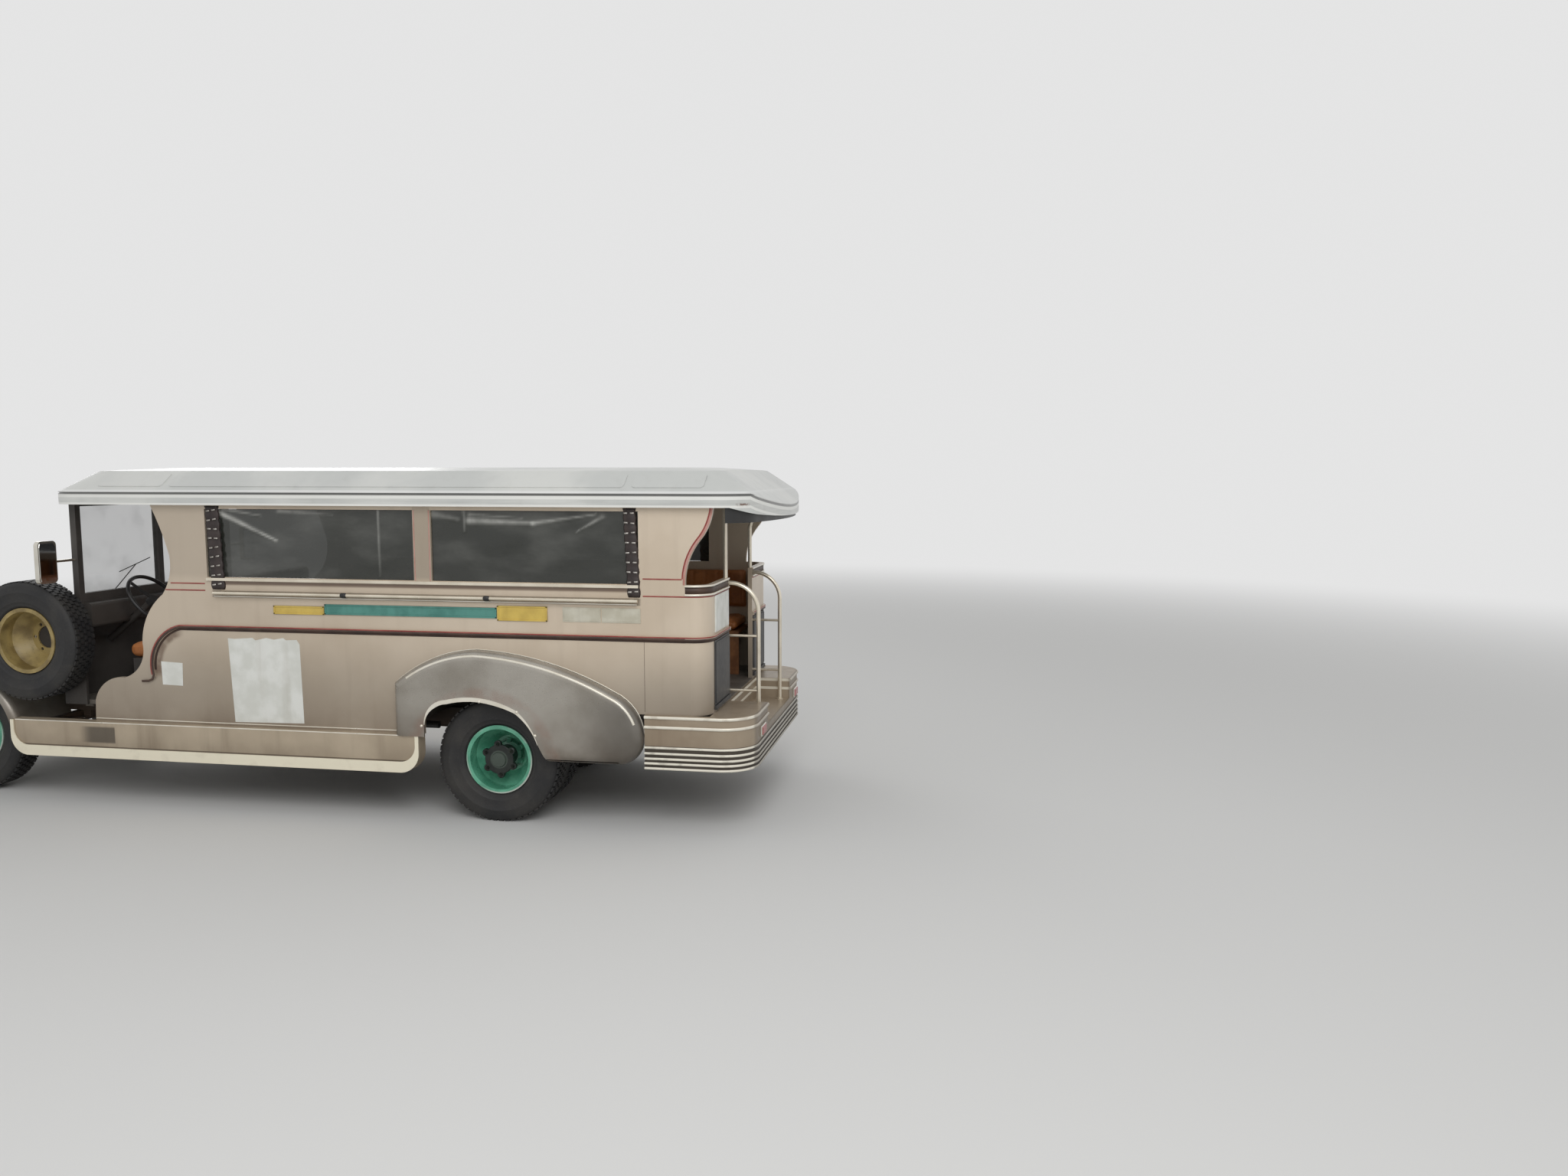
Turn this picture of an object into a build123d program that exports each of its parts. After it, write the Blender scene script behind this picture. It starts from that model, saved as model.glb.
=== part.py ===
from build123d import *

import math
import os

# A long-bodied jeepney. Lengths are in millimetres. While it is modelled, X runs forward from the
# rear axle, Y to the left from the middle of the vehicle and Z up from the ground. On export every
# piece moves back by X_MID, so that the origin is on the ground below the middle of the length.

# Main stations
WHEELBASE = 3950.0
FRONT_OVERHANG = 750.0
ROOF_OVERHANG = 1760.0
FRONT_END = WHEELBASE + FRONT_OVERHANG
ROOF_REAR = -ROOF_OVERHANG
X_MID = (FRONT_END + ROOF_REAR) / 2
FIREWALL_BACK = 750.0  # from the front axle to the firewall
FIREWALL_X = WHEELBASE - FIREWALL_BACK
CAB_LENGTH = 940.0
CAB_REAR = FIREWALL_X - CAB_LENGTH
BODY_REAR = -1400.0
SEAT_GAP = 0.3  # left between pieces that rest on each other along a curve

# Wheels
TYRE_R = 403.0
TYRE_W = 205.0
TREAD_HALF = 78.0
SHOULDER_DROP = 21.0
BEAD_R = 206.0
BEAD_HALF = 62.0
RIM_STEP = 20.0  # height of the tyre's foot beside the rim flange
FLANGE_T = 9.0
BARREL_T = 9.0
DISC_T = 10.0
DISC_OFFSET = 124.0  # from the middle of the tread to the mounting face
DISH_R = 118.0
DISH_DEPTH = 88.0
HUB_R = 88.0
HUB_LENGTH = 96.0
HUB_NOSE_R = 52.0
HUB_LOBES = 6
LOBE_R = 17.0
LOBE_H = 34.0
CAP_R = 70.0
CAP_H = 46.0
BORE_R = 76.0
STUD_HOLE_R = 11.0
STUD_CIRCLE_R = 97.0
REAR_OUTER_Y = 800.0
FRONT_TRACK_Y = 720.0
KINGPIN_Y = 600.0
AXLE_Z = TYRE_R

# Chassis frame
RAIL_IN = 320.0
RAIL_OUT = 380.0
RAIL_MID = (RAIL_IN + RAIL_OUT) / 2
RAIL_LOW = 500.0
RAIL_TOP = 620.0
RAIL_WEB = 9.0
BUMPER_STANDOFF = 140.0
RAIL_REAR = BODY_REAR
RAIL_FRONT = FRONT_END - BUMPER_STANDOFF
CROSS_W = 64.0
CROSS_INSET = 14.0
HANGER_INSET = 25.0
HANGER_L = 60.0
HANGER_SIDE = 4.0

# Springs and axles
SPRING_T = 9.0
SPRING_LEAVES = 5
SPRING_W = 52.0
SPRING_Y = RAIL_MID
SPRING_HALF = 560.0
REAR_CAMBER = 108.0
FRONT_CAMBER = 40.0
AXLE_TUBE_R = 45.0
DIFF_R = 138.0
SHAFT_R = 32.0
PINION_R = 58.0
PINION_L = 170.0
DRUM_R = 128.0
DRUM_W = 46.0
BEAM_DROP = 62.0
BEAM_H = 58.0
BEAM_W = 62.0
BEAM_GROOVE = 8.0
BEAM_RISE = 60.0  # each side of the springs, where the beam's arms begin
ARM_H = 60.0
EYE_R = 27.0
EYE_H = 74.0
LUG_T = 20.0
STUB_R = 36.0
BOSS_R = 62.0
BOSS_L = 40.0
ARM_LENGTH = 165.0
ARM_END_Y = KINGPIN_Y - 14.0
TRACK_ROD_R = 9.0
TRACK_EYE_H = 24.0

# Engine, tank and exhaust
ENGINE_GAP = 100.0
ENGINE_REAR = FIREWALL_X + ENGINE_GAP
ENGINE_LENGTH = 760.0
ENGINE_HALF = 210.0
ENGINE_LOW = 560.0
ENGINE_TOP = 1080.0
ENGINE_FOOT = 80.0
ENGINE_FOOT_H = 18.0
GEARBOX_LENGTH = 590.0
GEARBOX_REAR = ENGINE_REAR - GEARBOX_LENGTH
GEARBOX_HALF = 120.0
GEARBOX_LOW = 440.0
GEARBOX_H = 170.0
TANK_REAR = 1250.0
TANK_LENGTH = 500.0
TANK_W = 360.0
TANK_LOW = 400.0
TANK_H = 200.0
TANK_ROUND = 40.0
TANK_GAP = 20.0
STRAP_W = 30.0
EXHAUST_Y = RAIL_OUT + 100.0
EXHAUST_Z = RAIL_LOW + 20.0
SILENCER_R = 70.0
SILENCER_REAR = 1250.0
SILENCER_LENGTH = 700.0
PIPE_RUN = 650.0
EXHAUST_R = 24.0

# Body
BODY_HALF = 930.0
WALL = 30.0
BODY_IN = BODY_HALF - WALL
SILL_Z = 563.0
VALANCE_TOP = 745.0
BELT_Z = 1219.0
WINDOW_LOW = 1550.0
WINDOW_HIGH = 1995.0
SIDE_TOP = 2045.0
CORNER_R = 120.0
SIDE_REAR = BODY_REAR + CORNER_R + 29.0
DOOR_HALF = 385.0
QUARTER = 291.0  # wall behind the rear window
FRONT_POST = 295.0  # wall between the front window and the cab
PANE_REAR = SIDE_REAR + QUARTER
PANE_FRONT = CAB_REAR - FRONT_POST
PILLAR_W = 119.0
PILLAR_X = (PANE_REAR + PANE_FRONT) / 2 - 50.0
PANES = ((PANE_REAR, PILLAR_X - PILLAR_W / 2), (PILLAR_X + PILLAR_W / 2, PANE_FRONT))
LIP_H = 22.0
LIP_OUT = 14.0
LIP_FRONT = CAB_REAR - 80.0
BEAD_H = 12.0
BEAD_OUT = 7.0
BEAD_TOPS = (WINDOW_LOW, WINDOW_LOW - 54.0)
SIDE_FRONT = CAB_REAR + 596.0
# Rear edge of the driver's opening from the roof down: distance forward of the cab's rear, and height.
# The first row is a point, and each later pair of rows is the middle and the end of an arc.
DOOR_EDGE = (
    (112.0, SIDE_TOP), (30.0, 1860.0), (-24.0, 1690.0), (-14.0, 1540.0), (40.0, 1430.0),
    (160.0, 1290.0), (210.0, 1100.0), (232.0, 960.0), (360.0, 864.0), (520.0, 815.0), (590.0, 700.0),
)

# Floors
FLOOR_TOP = 750.0
FLOOR_T = 30.0
CAB_FLOOR_TOP = 670.0
RISER_T = 60.0
WHEEL_BOX_X = 480.0
WHEEL_BOX_ROOM = 25.0
WHEEL_BOX_IN = REAR_OUTER_Y - 2 * DISC_OFFSET - TYRE_W / 2 - WHEEL_BOX_ROOM
WHEEL_BOX_TOP = 950.0
WHEEL_BOX_T = 20.0
BEARER_W = 60.0
BEARER_INSET = 20.0

# Roof
ROOF_EAVE = 50.0
ROOF_BROW = 85.0
ROOF_HALF = BODY_HALF + ROOF_EAVE
ROOF_R = 230.0
ROOF_TOP_R = 170.0
ROOF_T = 22.0
FASCIA_LOW = 2020.0
FASCIA_TOP = 2104.0
COVE_TOP = 2240.0
COVE_IN = 190.0
CROWN_Z = 2262.0
CROWN_IN = 560.0
SOFFIT_T = 15.0
CEILING_IN = 70.0
GROOVE_TOP = 2100.0
GROOVE_H = 8.0
GROOVE_DEPTH = 7.0
FIELD_W = 148.0
FIELD_RISE = 5.0
FIELD_ROUND = 26.0
FIELD_GAP = 50.0
FIELD_UP = 14.0  # from the middle of the cove, up its slope
ROOF_BOW = 150.0  # how far the rear edge bows back between its corners
TAIL_ROUND = 70.0  # by which the rear corners are rounder than the front ones
TAIL_LENGTH = 340.0  # of the sloped rear end, up to the crown
TAIL_TOP = 2022.0  # top of the fascia at the end of the tail
TAIL_DROP = 72.0  # by which the fascia's foot sinks along the tail
TAIL_FOOT = 230.0
SKIRT_LOW = 1927.0
SKIRT_T = 14.0
SKIRT_LENGTH = 260.0

# Fenders, running boards and the step
FENDER_PROUD = 74.0
FENDER_OUT = BODY_HALF + FENDER_PROUD
FENDER_T = 12.0
FENDER_ROUND = FENDER_PROUD * 0.74
HOLLOW_ROUND = FENDER_PROUD * 0.4
FENDER_LOW = 430.0
FENDER_FRONT = 650.0
FRONT_ARCH_R = 500.0
FRONT_ARCH_T = 18.0
FRONT_FENDER_IN = 470.0
FRONT_FENDER_OUT = FRONT_TRACK_Y + 230.0
FRONT_OPENING_R = 452.0
FENDER_FOOT_Z = SILL_Z - 60
BOARD_REAR = FENDER_FRONT - 165.0  # under the front leg of the rear fender
BOARD_FRONT = WHEELBASE - math.sqrt(FRONT_ARCH_R**2 - (FENDER_FOOT_Z - AXLE_Z) ** 2) - SEAT_GAP
BOARD_OUT = BODY_HALF + 60.0
BOARD_IN = BODY_HALF - 25.0
STRIP_LOW = 323.0
STRIP_H = 70.0
STRIP_PROUD = 10.0
STRIP_BEND = 130.0
STEP_DEPTH = 266.0
STEP_REAR = BODY_REAR - STEP_DEPTH
STEP_HALF = BODY_HALF + 25.0
STEP_R = 210.0
STEP_LOW = 405.0
STEP_T = 18.0
STEP_FRONT = -992.0
ENTRY_Z = 600.0
ENTRY_HALF = 430.0
RIB_OUT = 10.0
# Middle height and thickness of each rib of the rear valance
RIBS = (
    (733.0, 20.0), (672.0, 20.0), (545.0, 16.0), (509.0, 16.0), (476.0, 16.0), (446.0, 16.0), (415.0, 16.0),
)

# Nose
COWL_HALF = BODY_HALF - 130.0
COWL_DEPTH = 170.0
COWL_REAR = FIREWALL_X - COWL_DEPTH
COWL_TOP = 1360.0
COWL_T = 20.0
DASH_H = 170.0
NOSE_REAR_HALF = COWL_HALF - 180.0
NOSE_FRONT_HALF = 430.0
NOSE_FRONT = WHEELBASE + 490.0
NOSE_LOW = 840.0
NOSE_TOP = 1170.0
NOSE_T = 14.0
NOSE_RIBS = 11
NOSE_RIB_R = 8.0
NOSE_RIB_LOW = 975.0
NOSE_RIB_TOP = 1135.0
BONNET_REAR_Z = 1310.0
BONNET_FRONT_Z = 1230.0
BONNET_GAP = 6.0
BONNET_SWING = 12.0  # room at the bonnet's front, whose foot swings forward as it lifts
BONNET_T = 14.0
SPINE_R = 14.0
GRILLE_T = 70.0
GRILLE_LOW = 640.0
GRILLE_TOP = 1236.0
GRILLE_HALF = NOSE_FRONT_HALF + 20.0
GRILLE_ROUND = 110.0
GRILLE_EDGE = 60.0
GRILLE_BARS = 11
GRILLE_BAR_R = 9.0
LAMP_R = 92.0
LAMP_L = 100.0
LAMP_Y = GRILLE_HALF + 190.0
LAMP_Z = 1010.0
LAMP_ARM_R = 11.0
BEZEL_R = 8.0
BUMPER_LOW = 440.0
BUMPER_H = 150.0
BUMPER_HALF = FRONT_FENDER_OUT + 10.0
BUMPER_T = 60.0
BUMPER_ROUND = 25.0

# Windscreen
SCREEN_HALF = COWL_HALF
SCREEN_X = COWL_REAR + 5.0
ROOF_FRONT = SCREEN_X + ROOF_BROW
SCREEN_T = 45.0
SCREEN_TOP = SIDE_TOP
SCREEN_BAR = 45.0
GLASS_T = 8.0
SCREEN_PANES = ((-SCREEN_HALF + SCREEN_BAR, -SCREEN_BAR / 2), (SCREEN_BAR / 2, SCREEN_HALF - SCREEN_BAR))

# Seats and fittings
BENCH_REAR = BODY_REAR + CORNER_R + 5
BENCH_FRONT = CAB_REAR - 110.0
BENCH_IN = 505.0
BENCH_TOP = 1070.0
BOARD_T = 18.0
CUSHION_T = 90.0
CUSHION_ROUND = 30.0
BACK_T = 60.0
BACK_GAP = 20.0
PARTITION_T = 24.0
PARTITION_TOP = 1330.0
PARTITION_X = CAB_REAR + 10.0
BACKREST_T = 110.0
SEAT_REAR = PARTITION_X + 60.0
SEAT_DEPTH = 430.0
SEAT_HALF = BODY_HALF - 190.0
SEAT_BOX_TOP = 960.0
SEAT_T = 110.0
BACKREST_TOP = 1500.0
PIPE_R = 14.0
BAR_R = 9.0
HOOP_Y = DOOR_HALF + PIPE_R
HOOP_TOP = (BEAD_TOPS[0] - BEAD_H + BEAD_TOPS[1]) / 2
HOOP_REACH = 200.0
HOOP_REAR = BODY_REAR - HOOP_REACH
HOOP_BEND = 188.0
HOOP_BARS = (1172.0, 812.0)
FLANGE_R = 26.0
FLANGE_H = 8.0
POST_X = BODY_REAR + 18.0
POST_BEND_Z = 1880.0
POST_REACH = 250.0
RAIL_PIPE_Y = 400.0
RAIL_PIPE_Z = 1985.0
RAIL_DROPS = 4
DROP_IN = 200.0
DROP_R = 8.0
SPARE_X = FIREWALL_X + 100.0
SPARE_Z = 1104.0
SPARE_PLATE = 100.0
MIRROR_HALF = 1120.0
MIRROR_W = 150.0
MIRROR_LOW = 1500.0
MIRROR_H = 280.0
MIRROR_T = 32.0
WHEEL_STEER_R = 200.0
STEER_RIM_R = 13.0
STEER_BOSS_R = 38.0
STEER_BOSS_H = 44.0
STEER_X = COWL_REAR - 240.0
STEER_Y = 400.0
STEER_Z = 1330.0
COLUMN_TILT = 38.0
COLUMN_R = 24.0
TAIL_LAMP_Y = 560.0
TAIL_LAMP_W = 140.0
TAIL_LAMP_Z = 579.0
TAIL_LAMP_H = 66.0
TAIL_LAMP_T = 16.0
CURTAIN_T = 4.0
SILL_RAIL_H = 18.0
SILL_RAIL_OUT = 16.0
SIDE_ROD_R = 10.0
SIDE_ROD_Z = 1450.0
SIDE_ROD_OUT = 34.0

CROSS_STATIONS = (
    BODY_REAR + 150, -SPRING_HALF - 60, SPRING_HALF + 80, (SPRING_HALF + CAB_REAR) / 2 + 290, CAB_REAR + 380,
    WHEELBASE + 310,
)
BEARER_STATIONS = (
    BODY_REAR + 110, -WHEEL_BOX_X - 180, WHEEL_BOX_X + 120, (WHEEL_BOX_X + CAB_REAR) / 2 - 220,
    PILLAR_X + 1330, CAB_REAR - RISER_T,
)
CAB_BEARER_STATIONS = (CAB_REAR + 220, COWL_REAR + 20)


def box(x_low, x_high, y_low, y_high, z_low, z_high):
    """A block between six planes."""
    middle = Pos((x_low + x_high) / 2, (y_low + y_high) / 2, (z_low + z_high) / 2)
    return middle * Box(x_high - x_low, y_high - y_low, z_high - z_low)


def outline(start, *steps):
    """A closed face from a start point. A step is a point for a line, or a pair of points for an arc."""
    edges = []
    at = start
    for step in steps:
        if isinstance(step[0], tuple):
            edges.append(ThreePointArc(at, step[0], step[1]))
            at = step[1]
        else:
            edges.append(Line(at, step))
            at = step
    if at != start:
        edges.append(Line(at, start))
    return make_face(edges)


def side_slab(face, y_low, y_high):
    """A side-view face, its axes X and Z, as a solid between two Y planes."""
    return extrude(Plane.XZ.offset(-y_high) * face, amount=y_high - y_low)


def plan_slab(face, z_low, z_high):
    """A plan face as a solid between two heights."""
    return extrude(Plane.XY.offset(z_low) * face, amount=z_high - z_low)


def end_slab(face, x_low, x_high):
    """An end-view face, its axes Y and Z, as a solid between two X planes."""
    return extrude(Plane.YZ.offset(x_low) * face, amount=x_high - x_low)


def rod(start, end, radius):
    """A round bar between two points."""
    axis = Vector(*end) - Vector(*start)
    plane = Plane(origin=start, z_dir=axis)
    return extrude(plane * Circle(radius), amount=axis.length)


def pipe(points, radii, radius):
    """A bent pipe: straight runs joined by arcs of the given radii."""
    path = FilletPolyline(*points, radius=radii)
    section = Plane(origin=path @ 0, z_dir=path % 0) * Circle(radius)
    return sweep(section, path=path)


def other_side(shape):
    """The same piece on the right."""
    return mirror(shape, about=Plane.XZ)


def both_sides(shape):
    """A left piece and its mirror image, as two solids."""
    return [shape, other_side(shape)]


def tyre():
    """The tyre's ring, turned about Y, its middle at the origin."""
    half = TYRE_W / 2
    foot_r = BEAD_R + RIM_STEP
    shoulder_r = TYRE_R - SHOULDER_DROP
    shoulder_y = (half + TREAD_HALF) / 2 + 4
    side_r = (foot_r + shoulder_r) / 2
    face = outline(
        (BEAD_R, -BEAD_HALF),
        (foot_r, -BEAD_HALF),
        ((side_r, -half), (shoulder_r, -shoulder_y)),
        (TYRE_R, -TREAD_HALF),
        (TYRE_R, TREAD_HALF),
        (shoulder_r, shoulder_y),
        ((side_r, half), (foot_r, BEAD_HALF)),
        (BEAD_R, BEAD_HALF),
    )
    return revolve(face, Axis.Y)


def rim_shell():
    """Barrel, flanges and the dish, which runs in to the mounting face on the -Y side."""
    barrel_r = BEAD_R - SEAT_GAP
    inner_r = barrel_r - BARREL_T
    foot = BEAD_HALF + SEAT_GAP
    lip = foot + FLANGE_T
    flange_r = BEAD_R + RIM_STEP - 4
    barrel = outline(
        (inner_r, -lip), (flange_r, -lip), (flange_r, -foot), (barrel_r, -foot),
        (barrel_r, foot), (flange_r, foot), (flange_r, lip), (inner_r, lip),
    )
    face = -DISC_OFFSET
    brow = face + DISH_DEPTH
    dish = outline(
        (0, face), (DISH_R + 6, face), (inner_r + 2, brow),
        (inner_r + 2, brow + DISC_T + 2), (DISH_R, face + DISC_T), (0, face + DISC_T),
    )
    return revolve(barrel, Axis.Y) + revolve(dish, Axis.Y)


def bored_rim():
    """A rim off its hub, with its centre bore and stud holes open."""
    face = -DISC_OFFSET + DISC_T / 2
    shell = rim_shell() - Pos(0, face, 0) * Rot(90, 0, 0) * Cylinder(BORE_R, 3 * DISC_T)
    for turn in range(HUB_LOBES):
        angle = math.radians(360.0 * turn / HUB_LOBES)
        at = Pos(STUD_CIRCLE_R * math.cos(angle), face, STUD_CIRCLE_R * math.sin(angle))
        shell -= at * Rot(90, 0, 0) * Cylinder(STUD_HOLE_R, 3 * DISC_T)
    return shell


def rim_hub():
    """The round hub in the dish with its lobed flange, from the mounting face outwards."""
    low = -DISC_OFFSET + DISC_T
    hub = outline(
        (0, low), (HUB_R, low), (HUB_R - 6, low + 26), (HUB_NOSE_R, low + LOBE_H),
        (HUB_NOSE_R - 6, low + HUB_LENGTH), (0, low + HUB_LENGTH),
    )
    body = revolve(hub, Axis.Y)
    for turn in range(HUB_LOBES):
        angle = math.radians(360.0 * turn / HUB_LOBES + 90)
        at = Pos(HUB_R * math.cos(angle), low + LOBE_H / 2, HUB_R * math.sin(angle))
        body += at * Rot(90, 0, 0) * Cylinder(LOBE_R, LOBE_H)
    return body


def twin_wheel():
    """Rim and tyres of the left rear pair, with the outer tyre's middle at the origin."""
    pair = -2 * DISC_OFFSET
    outer = rim_shell() + rim_hub()
    inner = Pos(0, pair, 0) * mirror(rim_shell(), about=Plane.XZ)
    return outer + inner, [tyre(), Pos(0, pair, 0) * tyre()]


def single_wheel():
    """Rim and tyre of the left front wheel, its dish outwards, middle of the tread at the origin."""
    shell = mirror(rim_shell(), about=Plane.XZ)
    face = DISC_OFFSET
    cap = outline(
        (0, face), (CAP_R, face), (CAP_R - 6, face + 20), (CAP_R - 30, face + CAP_H - 2), (0, face + CAP_H),
    )
    shell += revolve(cap, Axis.Y)
    boss = Pos(0, face - DISC_T - BOSS_L / 2, 0) * Rot(90, 0, 0) * Cylinder(BOSS_R, BOSS_L)
    return shell + boss, tyre()


def frame():
    """Two channel rails, the cross members and spring hangers."""
    left = box(RAIL_REAR, RAIL_FRONT, RAIL_IN, RAIL_OUT, RAIL_LOW, RAIL_TOP)
    left -= box(RAIL_REAR, RAIL_FRONT, RAIL_IN, RAIL_OUT - RAIL_WEB, RAIL_LOW + RAIL_WEB, RAIL_TOP - RAIL_WEB)
    packs = ((0.0, rear_leaf_top() + REAR_CAMBER), (WHEELBASE, front_leaf_top() + FRONT_CAMBER))
    for x_middle, z_end in packs:
        for end in (-1, 1):
            at = x_middle + end * (SPRING_HALF - HANGER_INSET)
            left += box(at - HANGER_L / 2, at + HANGER_L / 2, RAIL_IN + HANGER_SIDE, RAIL_OUT - HANGER_SIDE,
                        z_end + SEAT_GAP, RAIL_LOW)
    rails = left + other_side(left)
    web = RAIL_OUT - RAIL_WEB
    for x in CROSS_STATIONS:
        low = RAIL_LOW + CROSS_INSET
        rails += box(x - CROSS_W / 2, x + CROSS_W / 2, -web, web, low, RAIL_TOP - CROSS_INSET)
    return rails


def rear_leaf_top():
    """Top of the rear main leaf below the axle tube."""
    return AXLE_Z - AXLE_TUBE_R - SEAT_GAP


def front_leaf_top():
    """Top of the front main leaf, its pack standing on the beam."""
    return AXLE_Z - BEAM_DROP + BEAM_H / 2 + SPRING_LEAVES * SPRING_T


def leaf_pack(x_middle, z_top, camber):
    """One bowed pack, each leaf shorter than the one above it."""
    radius = (SPRING_HALF**2 + camber**2) / (2 * camber)
    pack = None
    for leaf in range(SPRING_LEAVES):
        half = SPRING_HALF * (1 - leaf / (SPRING_LEAVES + 0.5))
        upper = radius + leaf * SPRING_T
        lower = upper + SPRING_T
        centre = z_top + radius

        def on_arc(r, x):
            return (x_middle + x, centre - math.sqrt(r * r - x * x))

        face = outline(
            on_arc(upper, -half), (on_arc(upper, 0), on_arc(upper, half)), on_arc(lower, half),
            (on_arc(lower, 0), on_arc(lower, -half)),
        )
        solid = side_slab(face, SPRING_Y - SPRING_W / 2, SPRING_Y + SPRING_W / 2)
        pack = solid if pack is None else pack + solid
    return pack


def rear_axle():
    """Axle tube with its round differential case, the brake drums and the drive shaft."""
    reach = REAR_OUTER_Y - DISC_OFFSET - DISC_T - SEAT_GAP
    tube = rod((0, -reach, AXLE_Z), (0, reach, AXLE_Z), AXLE_TUBE_R)
    for side in (-1, 1):
        tube += rod((0, side * (reach - DRUM_W), AXLE_Z), (0, side * reach, AXLE_Z), DISH_R - 20)
        tube += rod((0, side * (reach - 2 * DRUM_W), AXLE_Z), (0, side * (reach - DRUM_W), AXLE_Z), DRUM_R)
    tube += Pos(0, 0, AXLE_Z) * Sphere(DIFF_R)
    nose = (PINION_L, 0, AXLE_Z + 6)
    tail = (GEARBOX_REAR - 1.1, 0, GEARBOX_LOW + SHAFT_R + 2)
    return tube + rod((PINION_R, 0, AXLE_Z), nose, PINION_R) + rod(nose, tail, SHAFT_R)


def front_axle():
    """Dropped beam with an upright eye for each kingpin."""
    seat = AXLE_Z - BEAM_DROP
    low = seat - BEAM_H / 2
    top = seat + BEAM_H / 2
    reach = SPRING_Y + BEAM_RISE
    beam = box(WHEELBASE - BEAM_W / 2, WHEELBASE + BEAM_W / 2, -reach, reach, low, top)
    for x_side in (-1, 1):
        groove_x = WHEELBASE + x_side * (BEAM_W / 2 - BEAM_GROOVE)
        groove_half = SPRING_Y - BEAM_RISE
        beam -= box(groove_x - BEAM_GROOVE, groove_x + BEAM_GROOVE, -groove_half, groove_half,
                    low + BEAM_GROOVE + 4, top - BEAM_GROOVE - 4)
    bend = KINGPIN_Y - 80
    tip = KINGPIN_Y - EYE_R + 5
    arm = outline(
        (reach, low), (bend, AXLE_Z - ARM_H / 2), (tip, AXLE_Z - ARM_H / 2),
        (tip, AXLE_Z + ARM_H / 2), (bend, AXLE_Z + ARM_H / 2), (reach, top),
    )
    arm = end_slab(arm, WHEELBASE - EYE_R, WHEELBASE + EYE_R)
    eye = Pos(WHEELBASE, KINGPIN_Y, AXLE_Z) * Cylinder(EYE_R, EYE_H)
    return beam + arm + eye + other_side(arm) + other_side(eye)


def knuckle():
    """Left fork round the beam's eye, with its stub axle and the arm to the track rod."""
    middle = EYE_H / 2 + SEAT_GAP + LUG_T / 2
    fork = None
    for side in (-1, 1):
        z = AXLE_Z + side * middle
        lug = Pos(WHEELBASE, KINGPIN_Y, z) * Cylinder(EYE_R + 3, LUG_T)
        lug += box(WHEELBASE - EYE_R, WHEELBASE + EYE_R, KINGPIN_Y, KINGPIN_Y + 52,
                   z - LUG_T / 2, z + LUG_T / 2)
        fork = lug if fork is None else fork + lug
    high = middle + LUG_T / 2
    plate = box(WHEELBASE - STUB_R + 2, WHEELBASE + STUB_R - 2, KINGPIN_Y + 38, KINGPIN_Y + 56,
                AXLE_Z - high, AXLE_Z + high)
    stub = rod((WHEELBASE, KINGPIN_Y + 50, AXLE_Z),
               (WHEELBASE, FRONT_TRACK_Y + DISC_OFFSET - DISC_T - BOSS_L - SEAT_GAP, AXLE_Z), STUB_R)
    arm_z = AXLE_Z - middle
    arm = box(WHEELBASE - ARM_LENGTH, WHEELBASE, KINGPIN_Y - 24, KINGPIN_Y - 2,
              arm_z - LUG_T / 2, arm_z + LUG_T / 2)
    arm += Pos(WHEELBASE - ARM_LENGTH, ARM_END_Y, arm_z) * Cylinder(LUG_T, LUG_T)
    return fork + plate + stub + arm


def track_rod():
    """Rod between the steering arms, its eyes just below them."""
    z = AXLE_Z - EYE_H / 2 - LUG_T - TRACK_EYE_H / 2 - 2 * SEAT_GAP
    x = WHEELBASE - ARM_LENGTH
    bar = rod((x, -ARM_END_Y, z), (x, ARM_END_Y, z), TRACK_ROD_R)
    for side in (-1, 1):
        bar += Pos(x, side * ARM_END_Y, z) * Cylinder(LUG_T - 1, TRACK_EYE_H)
    return bar


def engine():
    """The heavy block of the engine on its feet, with the gearbox behind it."""
    front = ENGINE_REAR + ENGINE_LENGTH
    block = box(ENGINE_REAR, front, -ENGINE_HALF, ENGINE_HALF, ENGINE_LOW, ENGINE_TOP)
    block += box(GEARBOX_REAR, ENGINE_REAR, -GEARBOX_HALF, GEARBOX_HALF, GEARBOX_LOW, GEARBOX_LOW + GEARBOX_H)
    foot_x = (ENGINE_REAR + front) / 2
    foot = box(foot_x - ENGINE_FOOT / 2, foot_x + ENGINE_FOOT / 2, -RAIL_MID, RAIL_MID,
               RAIL_TOP, RAIL_TOP + ENGINE_FOOT_H)
    return block + foot


def fuel_tank():
    """Tank hung outside the right rail by two straps."""
    inner = -RAIL_OUT - TANK_GAP
    tank = box(TANK_REAR, TANK_REAR + TANK_LENGTH, inner - TANK_W, inner, TANK_LOW, TANK_LOW + TANK_H)
    tank = fillet(tank.edges().filter_by(Axis.X), TANK_ROUND)
    for share in (0.13, 0.87):
        x = TANK_REAR + TANK_LENGTH * share
        low = TANK_LOW + TANK_ROUND
        top = TANK_LOW + TANK_H - TANK_ROUND
        tank += box(x - STRAP_W / 2, x + STRAP_W / 2, inner, -RAIL_OUT, max(low, RAIL_LOW - TANK_ROUND), top)
    return tank


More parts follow.
